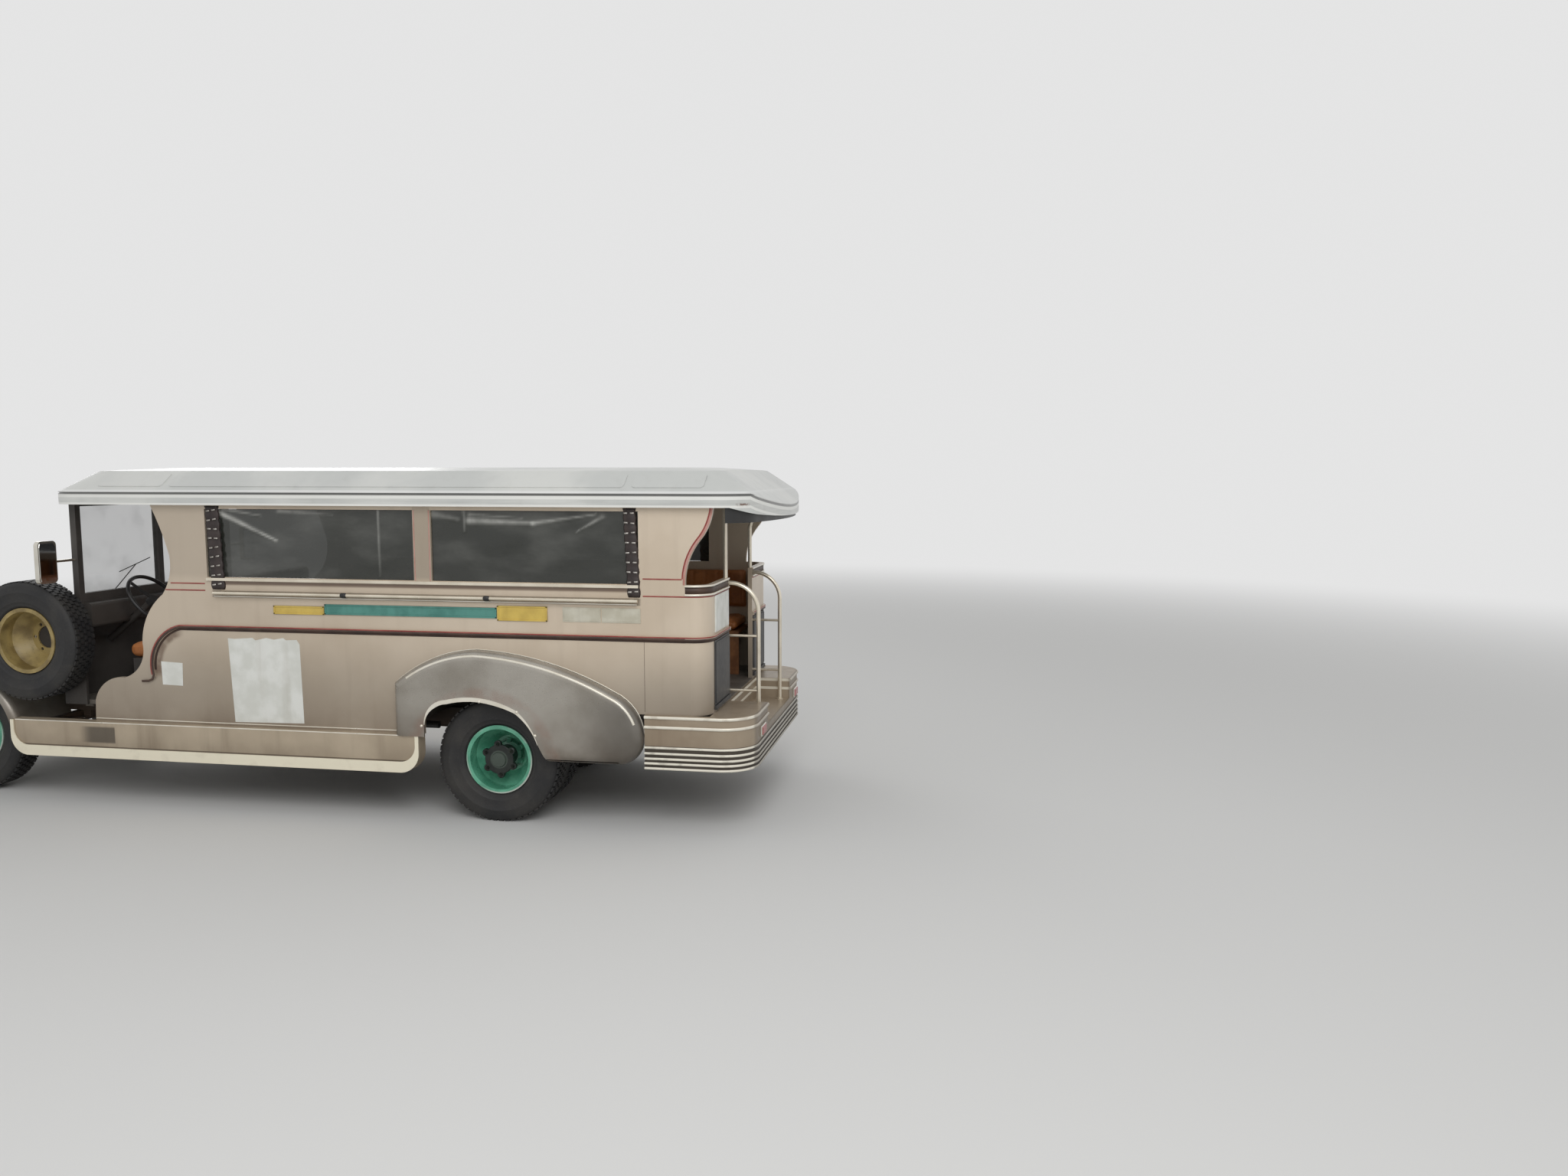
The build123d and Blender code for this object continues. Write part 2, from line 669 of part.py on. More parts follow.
def exhaust():
    """Silencer with its front and tail pipes along the left of the frame."""
    front = SILENCER_REAR + SILENCER_LENGTH
    silencer = rod((SILENCER_REAR, EXHAUST_Y, EXHAUST_Z), (front, EXHAUST_Y, EXHAUST_Z), SILENCER_R)
    pipe_ends = [(x, EXHAUST_Y, EXHAUST_Z) for x in (SILENCER_REAR - PIPE_RUN, front + PIPE_RUN)]
    pipes = rod(*pipe_ends, EXHAUST_R)
    middle = (SILENCER_REAR + front) / 2
    hanger = box(middle - 10, middle + 10, RAIL_OUT, EXHAUST_Y - SILENCER_R / 2,
                 EXHAUST_Z + 20, EXHAUST_Z + 40)
    return silencer + pipes + hanger


def side_face():
    """Side view of the side panel, from the driver's opening to the seam at the rear corner."""
    edge = [(CAB_REAR + dx, z) for dx, z in DOOR_EDGE]
    arcs = [(edge[index], edge[index + 1]) for index in range(1, len(edge) - 1, 2)]
    hump = WHEEL_BOX_TOP - WHEEL_BOX_T
    hump_front = WHEEL_BOX_X
    return outline(
        (SIDE_REAR, VALANCE_TOP),
        (SIDE_REAR, WINDOW_LOW),
        ((SIDE_REAR - 24, 1701.0), (SIDE_REAR - 90, 1818.0)),
        ((SIDE_REAR - 152, 1920.0), (SIDE_REAR - 178, SIDE_TOP)),
        edge[0],
        *arcs,
        (SIDE_FRONT, SILL_Z),
        (hump_front, SILL_Z),
        (hump_front, hump),
        (-WHEEL_BOX_X, hump),
        (-WHEEL_BOX_X, VALANCE_TOP),
    )


def side_panel():
    """Left side wall with both windows, and the belt's lip that turns down at the driver's opening."""
    wall = side_slab(side_face(), BODY_IN, BODY_HALF)
    for low, high in PANES:
        wall -= box(low, high, BODY_IN - 5, BODY_HALF + 5, WINDOW_LOW, WINDOW_HIGH)
    low = BELT_Z - LIP_H / 2
    top = BELT_Z + LIP_H / 2
    lip = box(SIDE_REAR, LIP_FRONT, BODY_HALF, BODY_HALF + LIP_OUT, low, top)
    turn = outline(
        (LIP_FRONT, top), ((LIP_FRONT + 166, 1130.0), (LIP_FRONT + 224, 880.0)), (LIP_FRONT + 202, 880.0),
        ((LIP_FRONT + 144, 1118.0), (LIP_FRONT, low)),
    )
    return wall + lip + side_slab(turn, BODY_HALF, BODY_HALF + LIP_OUT)


def corner_plan(outer, rear, radius):
    """Plan of a U about the rear: half width, rear X and corner radius."""
    front = SIDE_REAR
    reach = radius * (1 - math.sqrt(0.5))
    return outline(
        (front, -outer), (rear + radius, -outer),
        ((rear + reach, -outer + reach), (rear, -outer + radius)),
        (rear, outer - radius),
        ((rear + reach, outer - reach), (rear + radius, outer)),
        (front, outer),
    )


def corner_band(proud, low, top):
    """A band round the rear corners that stands proud of them between two heights."""
    band = plan_slab(corner_plan(BODY_HALF + proud, BODY_REAR - proud, CORNER_R + proud), low, top)
    return band - plan_slab(corner_plan(BODY_HALF - 5, BODY_REAR + 5, CORNER_R - 5), low, top)


def rear_corners():
    """Both round rear corners up to the sill, with the belt's lip and two beads, open at the doorway."""
    shell = plan_slab(corner_plan(BODY_HALF, BODY_REAR, CORNER_R), VALANCE_TOP, WINDOW_LOW)
    shell -= plan_slab(corner_plan(BODY_IN, BODY_REAR + WALL, CORNER_R - WALL), VALANCE_TOP, WINDOW_LOW)
    shell += corner_band(LIP_OUT, BELT_Z - LIP_H / 2, BELT_Z + LIP_H / 2)
    for top in BEAD_TOPS:
        shell += corner_band(BEAD_OUT, top - BEAD_H, top)
    doorway = box(BODY_REAR - 60, SIDE_REAR + 10, -DOOR_HALF, DOOR_HALF, VALANCE_TOP - 10, WINDOW_LOW + 10)
    return (shell - doorway).solids()


def floor():
    """Passenger floor with its wheel boxes, the riser and the cab floor, on cross bearers."""
    low = FLOOR_TOP - FLOOR_T
    cab_low = CAB_FLOOR_TOP - FLOOR_T
    plate = box(SIDE_REAR, CAB_REAR, -BODY_IN, BODY_IN, low, FLOOR_TOP)
    inset = WALL + SEAT_GAP
    plate += plan_slab(corner_plan(BODY_HALF - inset, BODY_REAR + inset, CORNER_R - WALL), low, FLOOR_TOP)
    plate += box(BODY_REAR, SIDE_REAR, -DOOR_HALF, DOOR_HALF, low, FLOOR_TOP)
    cowl_in = COWL_HALF - COWL_T
    plate += box(CAB_REAR, FIREWALL_X - COWL_T, -cowl_in, cowl_in, cab_low, CAB_FLOOR_TOP)
    plate += box(CAB_REAR, SIDE_FRONT - 6, -BODY_IN, BODY_IN, cab_low, CAB_FLOOR_TOP)
    plate += box(CAB_REAR - RISER_T, CAB_REAR + RISER_T / 2, -BODY_IN, BODY_IN, cab_low, FLOOR_TOP)
    half = BODY_IN - BEARER_INSET
    for x in BEARER_STATIONS:
        plate += box(x - BEARER_W / 2, x + BEARER_W / 2, -half, half, RAIL_TOP, low)
    half = cowl_in - BEARER_INSET
    for x in CAB_BEARER_STATIONS:
        plate += box(x - BEARER_W / 2, x + BEARER_W / 2, -half, half, RAIL_TOP, cab_low)
    reach = WHEEL_BOX_X + WHEEL_BOX_T
    hump = box(-reach, reach, WHEEL_BOX_IN - WHEEL_BOX_T, BODY_IN, low, WHEEL_BOX_TOP)
    well = box(-WHEEL_BOX_X, WHEEL_BOX_X, WHEEL_BOX_IN, BODY_IN, low, WHEEL_BOX_TOP - WHEEL_BOX_T)
    plate += hump
    plate += other_side(hump)
    return plate - well - other_side(well)


def roof_plan(inset, radius):
    """Plan of the roof drawn in on every side, its corners round and its rear edge bowed back."""
    half = ROOF_HALF - inset
    front = ROOF_FRONT - inset
    rear = ROOF_REAR + inset
    corner = rear + ROOF_BOW * (half / ROOF_HALF) ** 2
    plan = outline((front, -half), (front, half), (corner, half), ((rear, 0.0), (corner, -half)))
    plan = fillet(plan.vertices().sort_by(Axis.X)[-2:], radius)
    return fillet(plan.vertices().sort_by(Axis.X)[:2], radius + TAIL_ROUND)


def above_tail(shrink):
    """Everything above the sloped rear end of the roof, or above the hollow inside it."""
    slope = (CROWN_Z - TAIL_TOP) / TAIL_LENGTH
    drop = shrink * math.hypot(1.0, slope)
    rear = ROOF_REAR - 50
    front = ROOF_REAR + TAIL_LENGTH + 100
    over = outline(
        (rear, TAIL_TOP - 50 * slope - drop), (front, CROWN_Z + 100 * slope - drop),
        (front, CROWN_Z + 200), (rear, CROWN_Z + 200),
    )
    return side_slab(over, -ROOF_HALF - 10, ROOF_HALF + 10)


def roof_body(shrink):
    """The roof's outer form, or the hollow inside it when shrink is its thickness."""
    low = FASCIA_LOW - (10.0 if shrink else 0.0)
    foot = low - TAIL_DROP
    fascia_top = FASCIA_TOP - shrink * 0.4
    band = plan_slab(roof_plan(shrink, ROOF_R - shrink), foot, fascia_top)
    under = outline(
        (ROOF_FRONT + 50, low), (ROOF_REAR + TAIL_FOOT, low), (ROOF_REAR, foot),
        (ROOF_REAR - 50, foot - 50), (ROOF_FRONT + 50, foot - 50),
    )
    band -= side_slab(under, -ROOF_HALF - 10, ROOF_HALF + 10)
    cove_end = (COVE_TOP - shrink, COVE_IN + shrink * 0.5, ROOF_TOP_R)
    cove_start = (fascia_top, shrink, ROOF_R - shrink)
    crown_end = (CROWN_Z - shrink, CROWN_IN, ROOF_TOP_R)
    for lower, upper in ((cove_start, cove_end), (cove_end, crown_end)):
        band += loft([Plane.XY.offset(z) * roof_plan(inset, r) for z, inset, r in (lower, upper)], ruled=True)
    return band - above_tail(shrink)


def cove_plane(x, side):
    """Plane on the cove at its middle: on a long side at a station, or across the front when side is 0."""
    rise = COVE_TOP - FASCIA_TOP
    slope = math.hypot(COVE_IN, rise)
    out = COVE_IN / 2 + FIELD_UP * COVE_IN / slope
    z = (FASCIA_TOP + COVE_TOP) / 2 + FIELD_UP * rise / slope
    if not side:
        return Plane(origin=(ROOF_FRONT - out, 0, z), x_dir=(0, 1, 0), z_dir=(rise, 0, COVE_IN))
    return Plane(origin=(x, side * (ROOF_HALF - out), z), x_dir=(1, 0, 0), z_dir=(0, side * rise, COVE_IN))


def cove_fields():
    """Pressed fields that stand proud of the cove, three on each side and one across the front."""
    rear_gap = PANE_REAR + 65
    front_gap = PANE_FRONT + 275
    ends = (
        (ROOF_REAR + TAIL_LENGTH + FIELD_GAP, rear_gap - FIELD_GAP / 2),
        (rear_gap + FIELD_GAP / 2, front_gap - FIELD_GAP / 2),
        (front_gap + FIELD_GAP / 2, ROOF_FRONT - COVE_IN - ROOF_TOP_R - 20),
    )
    places = [((low + high) / 2, high - low, side) for side in (-1, 1) for low, high in ends]
    places.append((0.0, 2 * (ROOF_HALF - ROOF_R - 130), 0))
    fields = []
    for x, length, side in places:
        plane = cove_plane(x, side).offset(-1)
        fields.append(extrude(plane * RectangleRounded(length, FIELD_W, FIELD_ROUND), FIELD_RISE + 1))
    return fields


def roof():
    """Hollow roof: grooved fascia, sloped cove with its fields, low crown, and the soffit on the walls."""
    shell = roof_body(0.0) - roof_body(ROOF_T)
    groove_low = GROOVE_TOP - GROOVE_H
    ring = plan_slab(roof_plan(-5, ROOF_R + 5), groove_low, GROOVE_TOP)
    shell -= ring - plan_slab(roof_plan(GROOVE_DEPTH, ROOF_R - GROOVE_DEPTH), groove_low, GROOVE_TOP)
    for field in cove_fields():
        shell += field
    soffit = plan_slab(roof_plan(ROOF_T - 2, ROOF_R - ROOF_T + 2), SIDE_TOP, SIDE_TOP + SOFFIT_T)
    ceiling_half = BODY_HALF - CEILING_IN
    soffit -= box(BODY_REAR + 40, SCREEN_X - 60, -ceiling_half, ceiling_half,
                  SIDE_TOP - 5, SIDE_TOP + SOFFIT_T + 5)
    return shell + (soffit - above_tail(ROOF_T - 2))


def rear_skirt():
    """Dark band that hangs below the roof round its rear end."""
    inset = ROOF_T + 1
    ring = plan_slab(roof_plan(inset, ROOF_R - inset), SKIRT_LOW, SIDE_TOP)
    ring -= plan_slab(roof_plan(inset + SKIRT_T, ROOF_R - inset - SKIRT_T), SKIRT_LOW, SIDE_TOP)
    end = box(ROOF_REAR - 10, ROOF_REAR + SKIRT_LENGTH, -ROOF_HALF, ROOF_HALF, SKIRT_LOW - 10, SIDE_TOP + 10)
    return (ring & end) - above_tail(ROOF_T + 1)


def rear_fender_face(inset):
    """Side view of the pontoon fender, drawn in by an inset."""
    i = inset
    return outline(
        (FENDER_FRONT - i, FENDER_LOW + i), (FENDER_FRONT - i, 900.0 - i),
        ((420.0, 1046.0 - i), (100.0, 1120.0 - i)),
        ((-420.0, 1034.0 - i), (-800.0 + i * 0.6, 876.0 - i)),
        ((-930.0 + i, 770.0), (-984.0 + i, 620.0)),
        ((-960.0 + i, 500.0), (-850.0, FENDER_LOW + i)),
    )


def wheel_opening():
    """Side view of the opening in the rear fender, wider at the front than behind the tyre."""
    foot = FENDER_LOW - 50
    return outline(
        (440.0, foot), (440.0, 640.0), ((400.0, 755.0), (290.0, 806.0)),
        ((40.0, 822.0), (-180.0, 752.0)), ((-262.0, 660.0), (-316.0, 540.0)), (-400.0, foot),
    )


def rear_fender():
    """Left rear pontoon: a rolled shell open to the body, with its wheel opening."""
    shell = side_slab(rear_fender_face(0.0), BODY_HALF, FENDER_OUT)
    shell = fillet(shell.faces().sort_by(Axis.Y)[-1].edges(), FENDER_ROUND)
    hollow = side_slab(rear_fender_face(FENDER_T), BODY_HALF, FENDER_OUT - FENDER_T)
    edges = hollow.faces().sort_by(Axis.Y)[-1].edges()
    rim = edges.filter_by_position(Axis.Z, FENDER_LOW + FENDER_T + 5, ROOF_HALF * 3)
    shell -= fillet(rim, HOLLOW_ROUND)
    shell -= box(0, FENDER_FRONT + 5, BODY_HALF - 5, FENDER_OUT + 5, 0, SILL_Z + SEAT_GAP)
    return shell - side_slab(wheel_opening(), BODY_HALF - 5, FENDER_OUT + 5)


def front_fender_face(radius):
    """Side view of the arched front fender."""
    reach = math.sqrt(radius**2 - (FENDER_FOOT_Z - AXLE_Z) ** 2)
    return outline(
        (WHEELBASE - reach, FENDER_FOOT_Z),
        ((WHEELBASE, AXLE_Z + radius), (WHEELBASE + reach, FENDER_FOOT_Z)),
    )


def front_fender():
    """Left front fender: an arched shell with an open wheel side."""
    skin = FRONT_ARCH_T
    shell = side_slab(front_fender_face(FRONT_ARCH_R), FRONT_FENDER_IN, FRONT_FENDER_OUT)
    shell = fillet(shell.faces().sort_by(Axis.Y)[-1].edges().sort_by(Axis.Z)[-1], FENDER_ROUND)
    shell -= side_slab(front_fender_face(FRONT_ARCH_R - skin), FRONT_FENDER_IN, FRONT_FENDER_OUT - skin)
    shell -= Pos(WHEELBASE, FRONT_FENDER_OUT, AXLE_Z) * Rot(90, 0, 0) * Cylinder(FRONT_OPENING_R, 6 * skin)
    legs = box(WHEELBASE - FRONT_OPENING_R, WHEELBASE + FRONT_OPENING_R, FRONT_FENDER_OUT - 3 * skin,
               FRONT_FENDER_OUT + 5, 0, AXLE_Z)
    tray = box(WHEELBASE - FRONT_ARCH_R, WHEELBASE + FRONT_ARCH_R, 0, FRONT_FENDER_OUT - 50,
               0, FENDER_FOOT_Z + 1)
    return shell - legs - tray


def board_face(inset, low):
    """Side view of the running board, its lower corners turned up in large arcs."""
    rear = BOARD_REAR + inset
    front = BOARD_FRONT - inset
    bend = STRIP_BEND - inset
    reach = bend * (1 - math.sqrt(0.5))
    return outline(
        (rear, SILL_Z), (rear, low + bend), ((rear + reach, low + reach), (rear + bend, low)),
        (front - bend, low), ((front - reach, low + reach), (front, low + bend)), (front, SILL_Z),
    )


def running_board():
    """Left running board: its deep face, and the thick strip along its foot that turns up at both ends."""
    board = side_slab(board_face(4.0, STRIP_LOW + STRIP_H), BOARD_IN, BOARD_OUT)
    whole = side_slab(board_face(0.0, STRIP_LOW), BOARD_IN, BOARD_OUT + STRIP_PROUD)
    inner = side_slab(board_face(24.0, STRIP_LOW + STRIP_H), BOARD_IN, BOARD_OUT + STRIP_PROUD)
    return board + (whole - inner)


def rear_step():
    """Ribbed valance round the rear, its top deck and the lowered boarding step in the doorway."""
    reach = STEP_FRONT + STEP_R + 500

    def plan(grow):
        length = reach - STEP_REAR
        size = RectangleRounded(2 * (length + grow), 2 * (STEP_HALF + grow), STEP_R + grow)
        return Pos(STEP_REAR + length, 0) * size

    step = plan_slab(plan(0.0), STEP_LOW, VALANCE_TOP)
    step -= plan_slab(plan(-STEP_T), STEP_LOW, VALANCE_TOP - STEP_T)
    for z, height in RIBS:
        rib = plan_slab(plan(RIB_OUT), z - height / 2, z + height / 2)
        rib = fillet(rib.edges().group_by(Axis.Z)[0] + rib.edges().group_by(Axis.Z)[-1], height * 0.42)
        step += rib - plan_slab(plan(-1.0), z - height, z + height)
    wide = STEP_HALF + 3 * RIB_OUT
    step -= box(STEP_FRONT, 2 * reach - STEP_REAR + wide, -wide, wide, 0, VALANCE_TOP + STEP_T)
    step -= box(BODY_REAR, STEP_FRONT, -BODY_HALF, BODY_HALF, VALANCE_TOP - STEP_T - 5, VALANCE_TOP + STEP_T)
    step -= box(STEP_REAR - 3 * RIB_OUT, BODY_REAR, -ENTRY_HALF, ENTRY_HALF, ENTRY_Z, VALANCE_TOP + STEP_T)
    deck_rear = STEP_REAR + STEP_T / 2
    step += box(deck_rear, BODY_REAR, -ENTRY_HALF, ENTRY_HALF, ENTRY_Z - STEP_T, ENTRY_Z)
    step += box(BODY_REAR - STEP_T, BODY_REAR, -ENTRY_HALF, ENTRY_HALF, STEP_LOW, VALANCE_TOP)
    cheek = box(deck_rear, BODY_REAR, ENTRY_HALF, ENTRY_HALF + STEP_T, ENTRY_Z - STEP_T, VALANCE_TOP - STEP_T)
    return step + cheek + other_side(cheek)


def hoop():
    """Left doorway hoop with its two bars and its foot, which stands on the boarding step."""
    tube = pipe([(BODY_REAR, HOOP_Y, HOOP_TOP), (HOOP_REAR, HOOP_Y, HOOP_TOP), (HOOP_REAR, HOOP_Y, ENTRY_Z)],
                HOOP_BEND, PIPE_R)
    for z in HOOP_BARS:
        tube += rod((BODY_REAR, HOOP_Y, z), (HOOP_REAR, HOOP_Y, z), BAR_R)
    return tube + Pos(HOOP_REAR, HOOP_Y, ENTRY_Z + FLANGE_H / 2) * Cylinder(FLANGE_R, FLANGE_H)


def door_post():
    """Left doorway post from the wall's top to the roof."""
    return rod((POST_X, HOOP_Y, WINDOW_LOW), (POST_X, HOOP_Y, SIDE_TOP), PIPE_R)


def braced_post():
    """Right doorway post, which bends back at its top to carry the end of the roof."""
    foot = (POST_X, -HOOP_Y, WINDOW_LOW)
    bend = (POST_X, -HOOP_Y, POST_BEND_Z)
    run = pipe([foot, bend, (POST_X - POST_REACH, -HOOP_Y, SIDE_TOP + 60)], POST_REACH / 2, PIPE_R)
    return run & box(ROOF_REAR, PANE_REAR, -BODY_IN, 0, WINDOW_LOW, SIDE_TOP)


def ceiling_rail():
    """Left ceiling handrail on its drop brackets."""
    rear = PANE_REAR - 190
    front = BENCH_FRONT - 50
    rail = rod((rear, RAIL_PIPE_Y, RAIL_PIPE_Z), (front, RAIL_PIPE_Y, RAIL_PIPE_Z), PIPE_R)
    for index in range(RAIL_DROPS):
        x = rear + DROP_IN + (front - rear - 2 * DROP_IN) * index / (RAIL_DROPS - 1)
        rail += rod((x, RAIL_PIPE_Y, RAIL_PIPE_Z), (x, RAIL_PIPE_Y, CROWN_Z - ROOF_T - SEAT_GAP), DROP_R)
    return rail


def cowl():
    """Firewall, scuttle and cowl sides with the dashboard and the spare wheel's bracket."""
    low = CAB_FLOOR_TOP - FLOOR_T
    inner = COWL_HALF - COWL_T
    shell = box(COWL_REAR, FIREWALL_X, -COWL_HALF, COWL_HALF, low, COWL_TOP)
    shell -= box(COWL_REAR - 5, FIREWALL_X - COWL_T, -inner, inner, low - 5, COWL_TOP - COWL_T)
    dash = box(COWL_REAR - 60, COWL_REAR + 90, -inner, inner, COWL_TOP - COWL_T - DASH_H, COWL_TOP - COWL_T)
    dash = fillet(dash.edges().filter_by(Axis.Y).sort_by(Axis.X)[:2], 24.0)
    dash -= column_rod(COLUMN_R + 5)
    bracket = box(FIREWALL_X - SPARE_PLATE, SPARE_X + SPARE_PLATE, inner, COWL_HALF,
                  SPARE_Z - SPARE_PLATE, SPARE_Z + SPARE_PLATE)
    return shell + dash + bracket


def screen_frame():
    """Windscreen frame with a middle bar, between the scuttle and the roof."""
    rim = box(SCREEN_X, SCREEN_X + SCREEN_T, -SCREEN_HALF, SCREEN_HALF, COWL_TOP, SCREEN_TOP)
    for low, high in SCREEN_PANES:
        rim -= box(SCREEN_X - 5, SCREEN_X + SCREEN_T + 5, low, high,
                   COWL_TOP + SCREEN_BAR, SCREEN_TOP - SCREEN_BAR)
    return rim


def screen_glass():
    """The two panes of the windscreen."""
    x = SCREEN_X + SCREEN_T / 2
    half = GLASS_T / 2
    foot = COWL_TOP + SCREEN_BAR
    top = SCREEN_TOP - SCREEN_BAR
    return [box(x - half, x + half, low, high, foot, top) for low, high in SCREEN_PANES]


def nose_half(x):
    """Half width of the nose at a station."""
    share = (x - FIREWALL_X) / (NOSE_FRONT - FIREWALL_X)
    return NOSE_REAR_HALF + (NOSE_FRONT_HALF - NOSE_REAR_HALF) * share


def nose_plan(inset):
    """Plan of the engine bay, narrower at the front."""
    return outline(
        (FIREWALL_X, -NOSE_REAR_HALF + inset), (FIREWALL_X, NOSE_REAR_HALF - inset),
        (NOSE_FRONT, NOSE_FRONT_HALF - inset), (NOSE_FRONT, -NOSE_FRONT_HALF + inset),
    )


def nose_sides():
    """Fixed panels each side of the engine with their pressed ribs, standing on the fenders."""
    walls = plan_slab(nose_plan(0.0), NOSE_LOW, NOSE_TOP) - plan_slab(nose_plan(NOSE_T), NOSE_LOW, NOSE_TOP)
    open_half = NOSE_REAR_HALF - NOSE_T - 2
    walls -= box(FIREWALL_X - 5, FIREWALL_X + NOSE_T, -open_half, open_half, NOSE_LOW, NOSE_TOP)
    open_half = NOSE_FRONT_HALF - NOSE_T
    walls -= box(NOSE_FRONT - NOSE_T, NOSE_FRONT + 5, -open_half, open_half, NOSE_LOW, NOSE_TOP)
    for index in range(NOSE_RIBS):
        x = FIREWALL_X + (NOSE_FRONT - FIREWALL_X) * (index + 1) / (NOSE_RIBS + 1)
        rib = rod((x, nose_half(x) - 2, NOSE_RIB_LOW), (x, nose_half(x) - 2, NOSE_RIB_TOP), NOSE_RIB_R)
        walls += rib
        walls += other_side(rib)
    for fender in both_sides(side_slab(front_fender_face(FRONT_ARCH_R), FRONT_FENDER_IN, FRONT_FENDER_OUT)):
        walls -= fender
    return walls


def bonnet():
    """Bonnet: a shallow tray with a spine, hinged at the scuttle, which drops over the side panels."""
    rear = FIREWALL_X + BONNET_GAP
    front = NOSE_FRONT - BONNET_SWING
    low = NOSE_TOP + SEAT_GAP
    side = outline((rear, low), (rear, BONNET_REAR_Z), (front, BONNET_FRONT_Z), (front, low))
    inner = outline(
        (rear - 5, low - 5), (rear - 5, BONNET_REAR_Z - BONNET_T), (front + 5, BONNET_FRONT_Z - BONNET_T),
        (front + 5, low - 5),
    )
    outer = side_slab(side, -NOSE_REAR_HALF, NOSE_REAR_HALF)
    outer &= plan_slab(nose_plan(0.0), NOSE_LOW, COWL_TOP)
    hollow = side_slab(inner, -NOSE_REAR_HALF, NOSE_REAR_HALF)
    hollow &= plan_slab(nose_plan(NOSE_T), NOSE_LOW, COWL_TOP)
    slope = (BONNET_FRONT_Z - BONNET_REAR_Z) / (front - rear)
    spine_ends = [(x, 0, BONNET_REAR_Z + slope * (x - rear) - 4) for x in (rear + 60, front - 12)]
    return outer + rod(*spine_ends, SPINE_R) - hollow


def grille():
    """Radiator shell with its upright bars, standing on the rails."""
    rear = NOSE_FRONT + 4
    front = rear + GRILLE_T
    inner = GRILLE_HALF - GRILLE_EDGE
    low = GRILLE_LOW + GRILLE_EDGE
    top = GRILLE_TOP - GRILLE_EDGE
    shell = box(rear, front, -GRILLE_HALF, GRILLE_HALF, GRILLE_LOW, GRILLE_TOP)
    shell = fillet(shell.edges().filter_by(Axis.X).sort_by(Axis.Z)[-2:], GRILLE_ROUND)
    shell -= box(rear + 20, front + 5, -inner, inner, low, top)
    pitch = 2 * inner / (GRILLE_BARS + 1)
    for index in range(GRILLE_BARS):
        y = -inner + pitch * (index + 1)
        shell += rod((front - 20, y, low - 5), (front - 20, y, top + 5), GRILLE_BAR_R)
    for side in (-1, 1):
        y = side * RAIL_MID
        shell += box(rear, front, y - 30, y + 30, RAIL_TOP, GRILLE_LOW)
    return shell


def headlamp():
    """Left headlamp bowl with its bezel, on its arm from the radiator shell."""
    x = NOSE_FRONT + 60
    bowl = outline(
        (x - LAMP_L, 0), (x - LAMP_L * 0.7, LAMP_R * 0.75), (x, LAMP_R), (x + 14, LAMP_R),
        (x + 22, LAMP_R * 0.6), (x + 26, 0),
    )
    lamp = Pos(0, LAMP_Y, LAMP_Z) * revolve(bowl, Axis.X)
    lamp += Pos(x + 12, LAMP_Y, LAMP_Z) * Rot(0, 90, 0) * Torus(LAMP_R - 2, BEZEL_R)
    return lamp + rod((x - 30, GRILLE_HALF, LAMP_Z), (x - 30, LAMP_Y - LAMP_R / 2, LAMP_Z), LAMP_ARM_R)


def bumper():
    """Front bumper bar on its two brackets at the ends of the rails."""
    bar = box(FRONT_END - BUMPER_T, FRONT_END, -BUMPER_HALF, BUMPER_HALF, BUMPER_LOW, BUMPER_LOW + BUMPER_H)
    bar = fillet(bar.edges().filter_by(Axis.Y).sort_by(Axis.X)[-2:], BUMPER_ROUND)
    bar = fillet(bar.edges().filter_by(Axis.Z).sort_by(Axis.X)[-2:], BUMPER_T * 0.8)
    for side in (-1, 1):
        y = side * RAIL_MID
        bar += box(RAIL_FRONT, FRONT_END - BUMPER_T, y - 30, y + 30, RAIL_LOW, RAIL_TOP - 40)
    return bar


def bench_base():
    """Left bench box: front board and seat board along the side."""
    base = box(BENCH_REAR, BENCH_FRONT, BENCH_IN, BENCH_IN + BOARD_T, FLOOR_TOP, BENCH_TOP)
    base += box(BENCH_REAR, BENCH_FRONT, BENCH_IN, BODY_IN, BENCH_TOP - BOARD_T, BENCH_TOP)
    reach = WHEEL_BOX_X + WHEEL_BOX_T
    return base - box(-reach, reach, WHEEL_BOX_IN - WHEEL_BOX_T, BODY_IN, FLOOR_TOP - 5, WHEEL_BOX_TOP)


def bench_cushions():
    """Left seat cushion and its back pad."""
    top = BENCH_TOP + CUSHION_T
    seat = box(BENCH_REAR, BENCH_FRONT, BENCH_IN - 15, BODY_IN - SEAT_GAP, BENCH_TOP + SEAT_GAP, top)
    seat = fillet(seat.edges().filter_by(Axis.X).sort_by(Axis.Z)[-2:], CUSHION_ROUND)
    back = box(BENCH_REAR, BENCH_FRONT, BODY_IN - BACK_T, BODY_IN - SEAT_GAP,
               top + BACK_GAP, WINDOW_LOW - BACK_GAP - 10)
    back = fillet(back.edges().filter_by(Axis.X).sort_by(Axis.Y)[:2], BACK_T * 0.36)
    return [seat, back]


def partition():
    """Board behind the driver, from the riser to below the window line."""
    return box(PARTITION_X - PARTITION_T, PARTITION_X, -BODY_IN, BODY_IN, FLOOR_TOP, PARTITION_TOP)


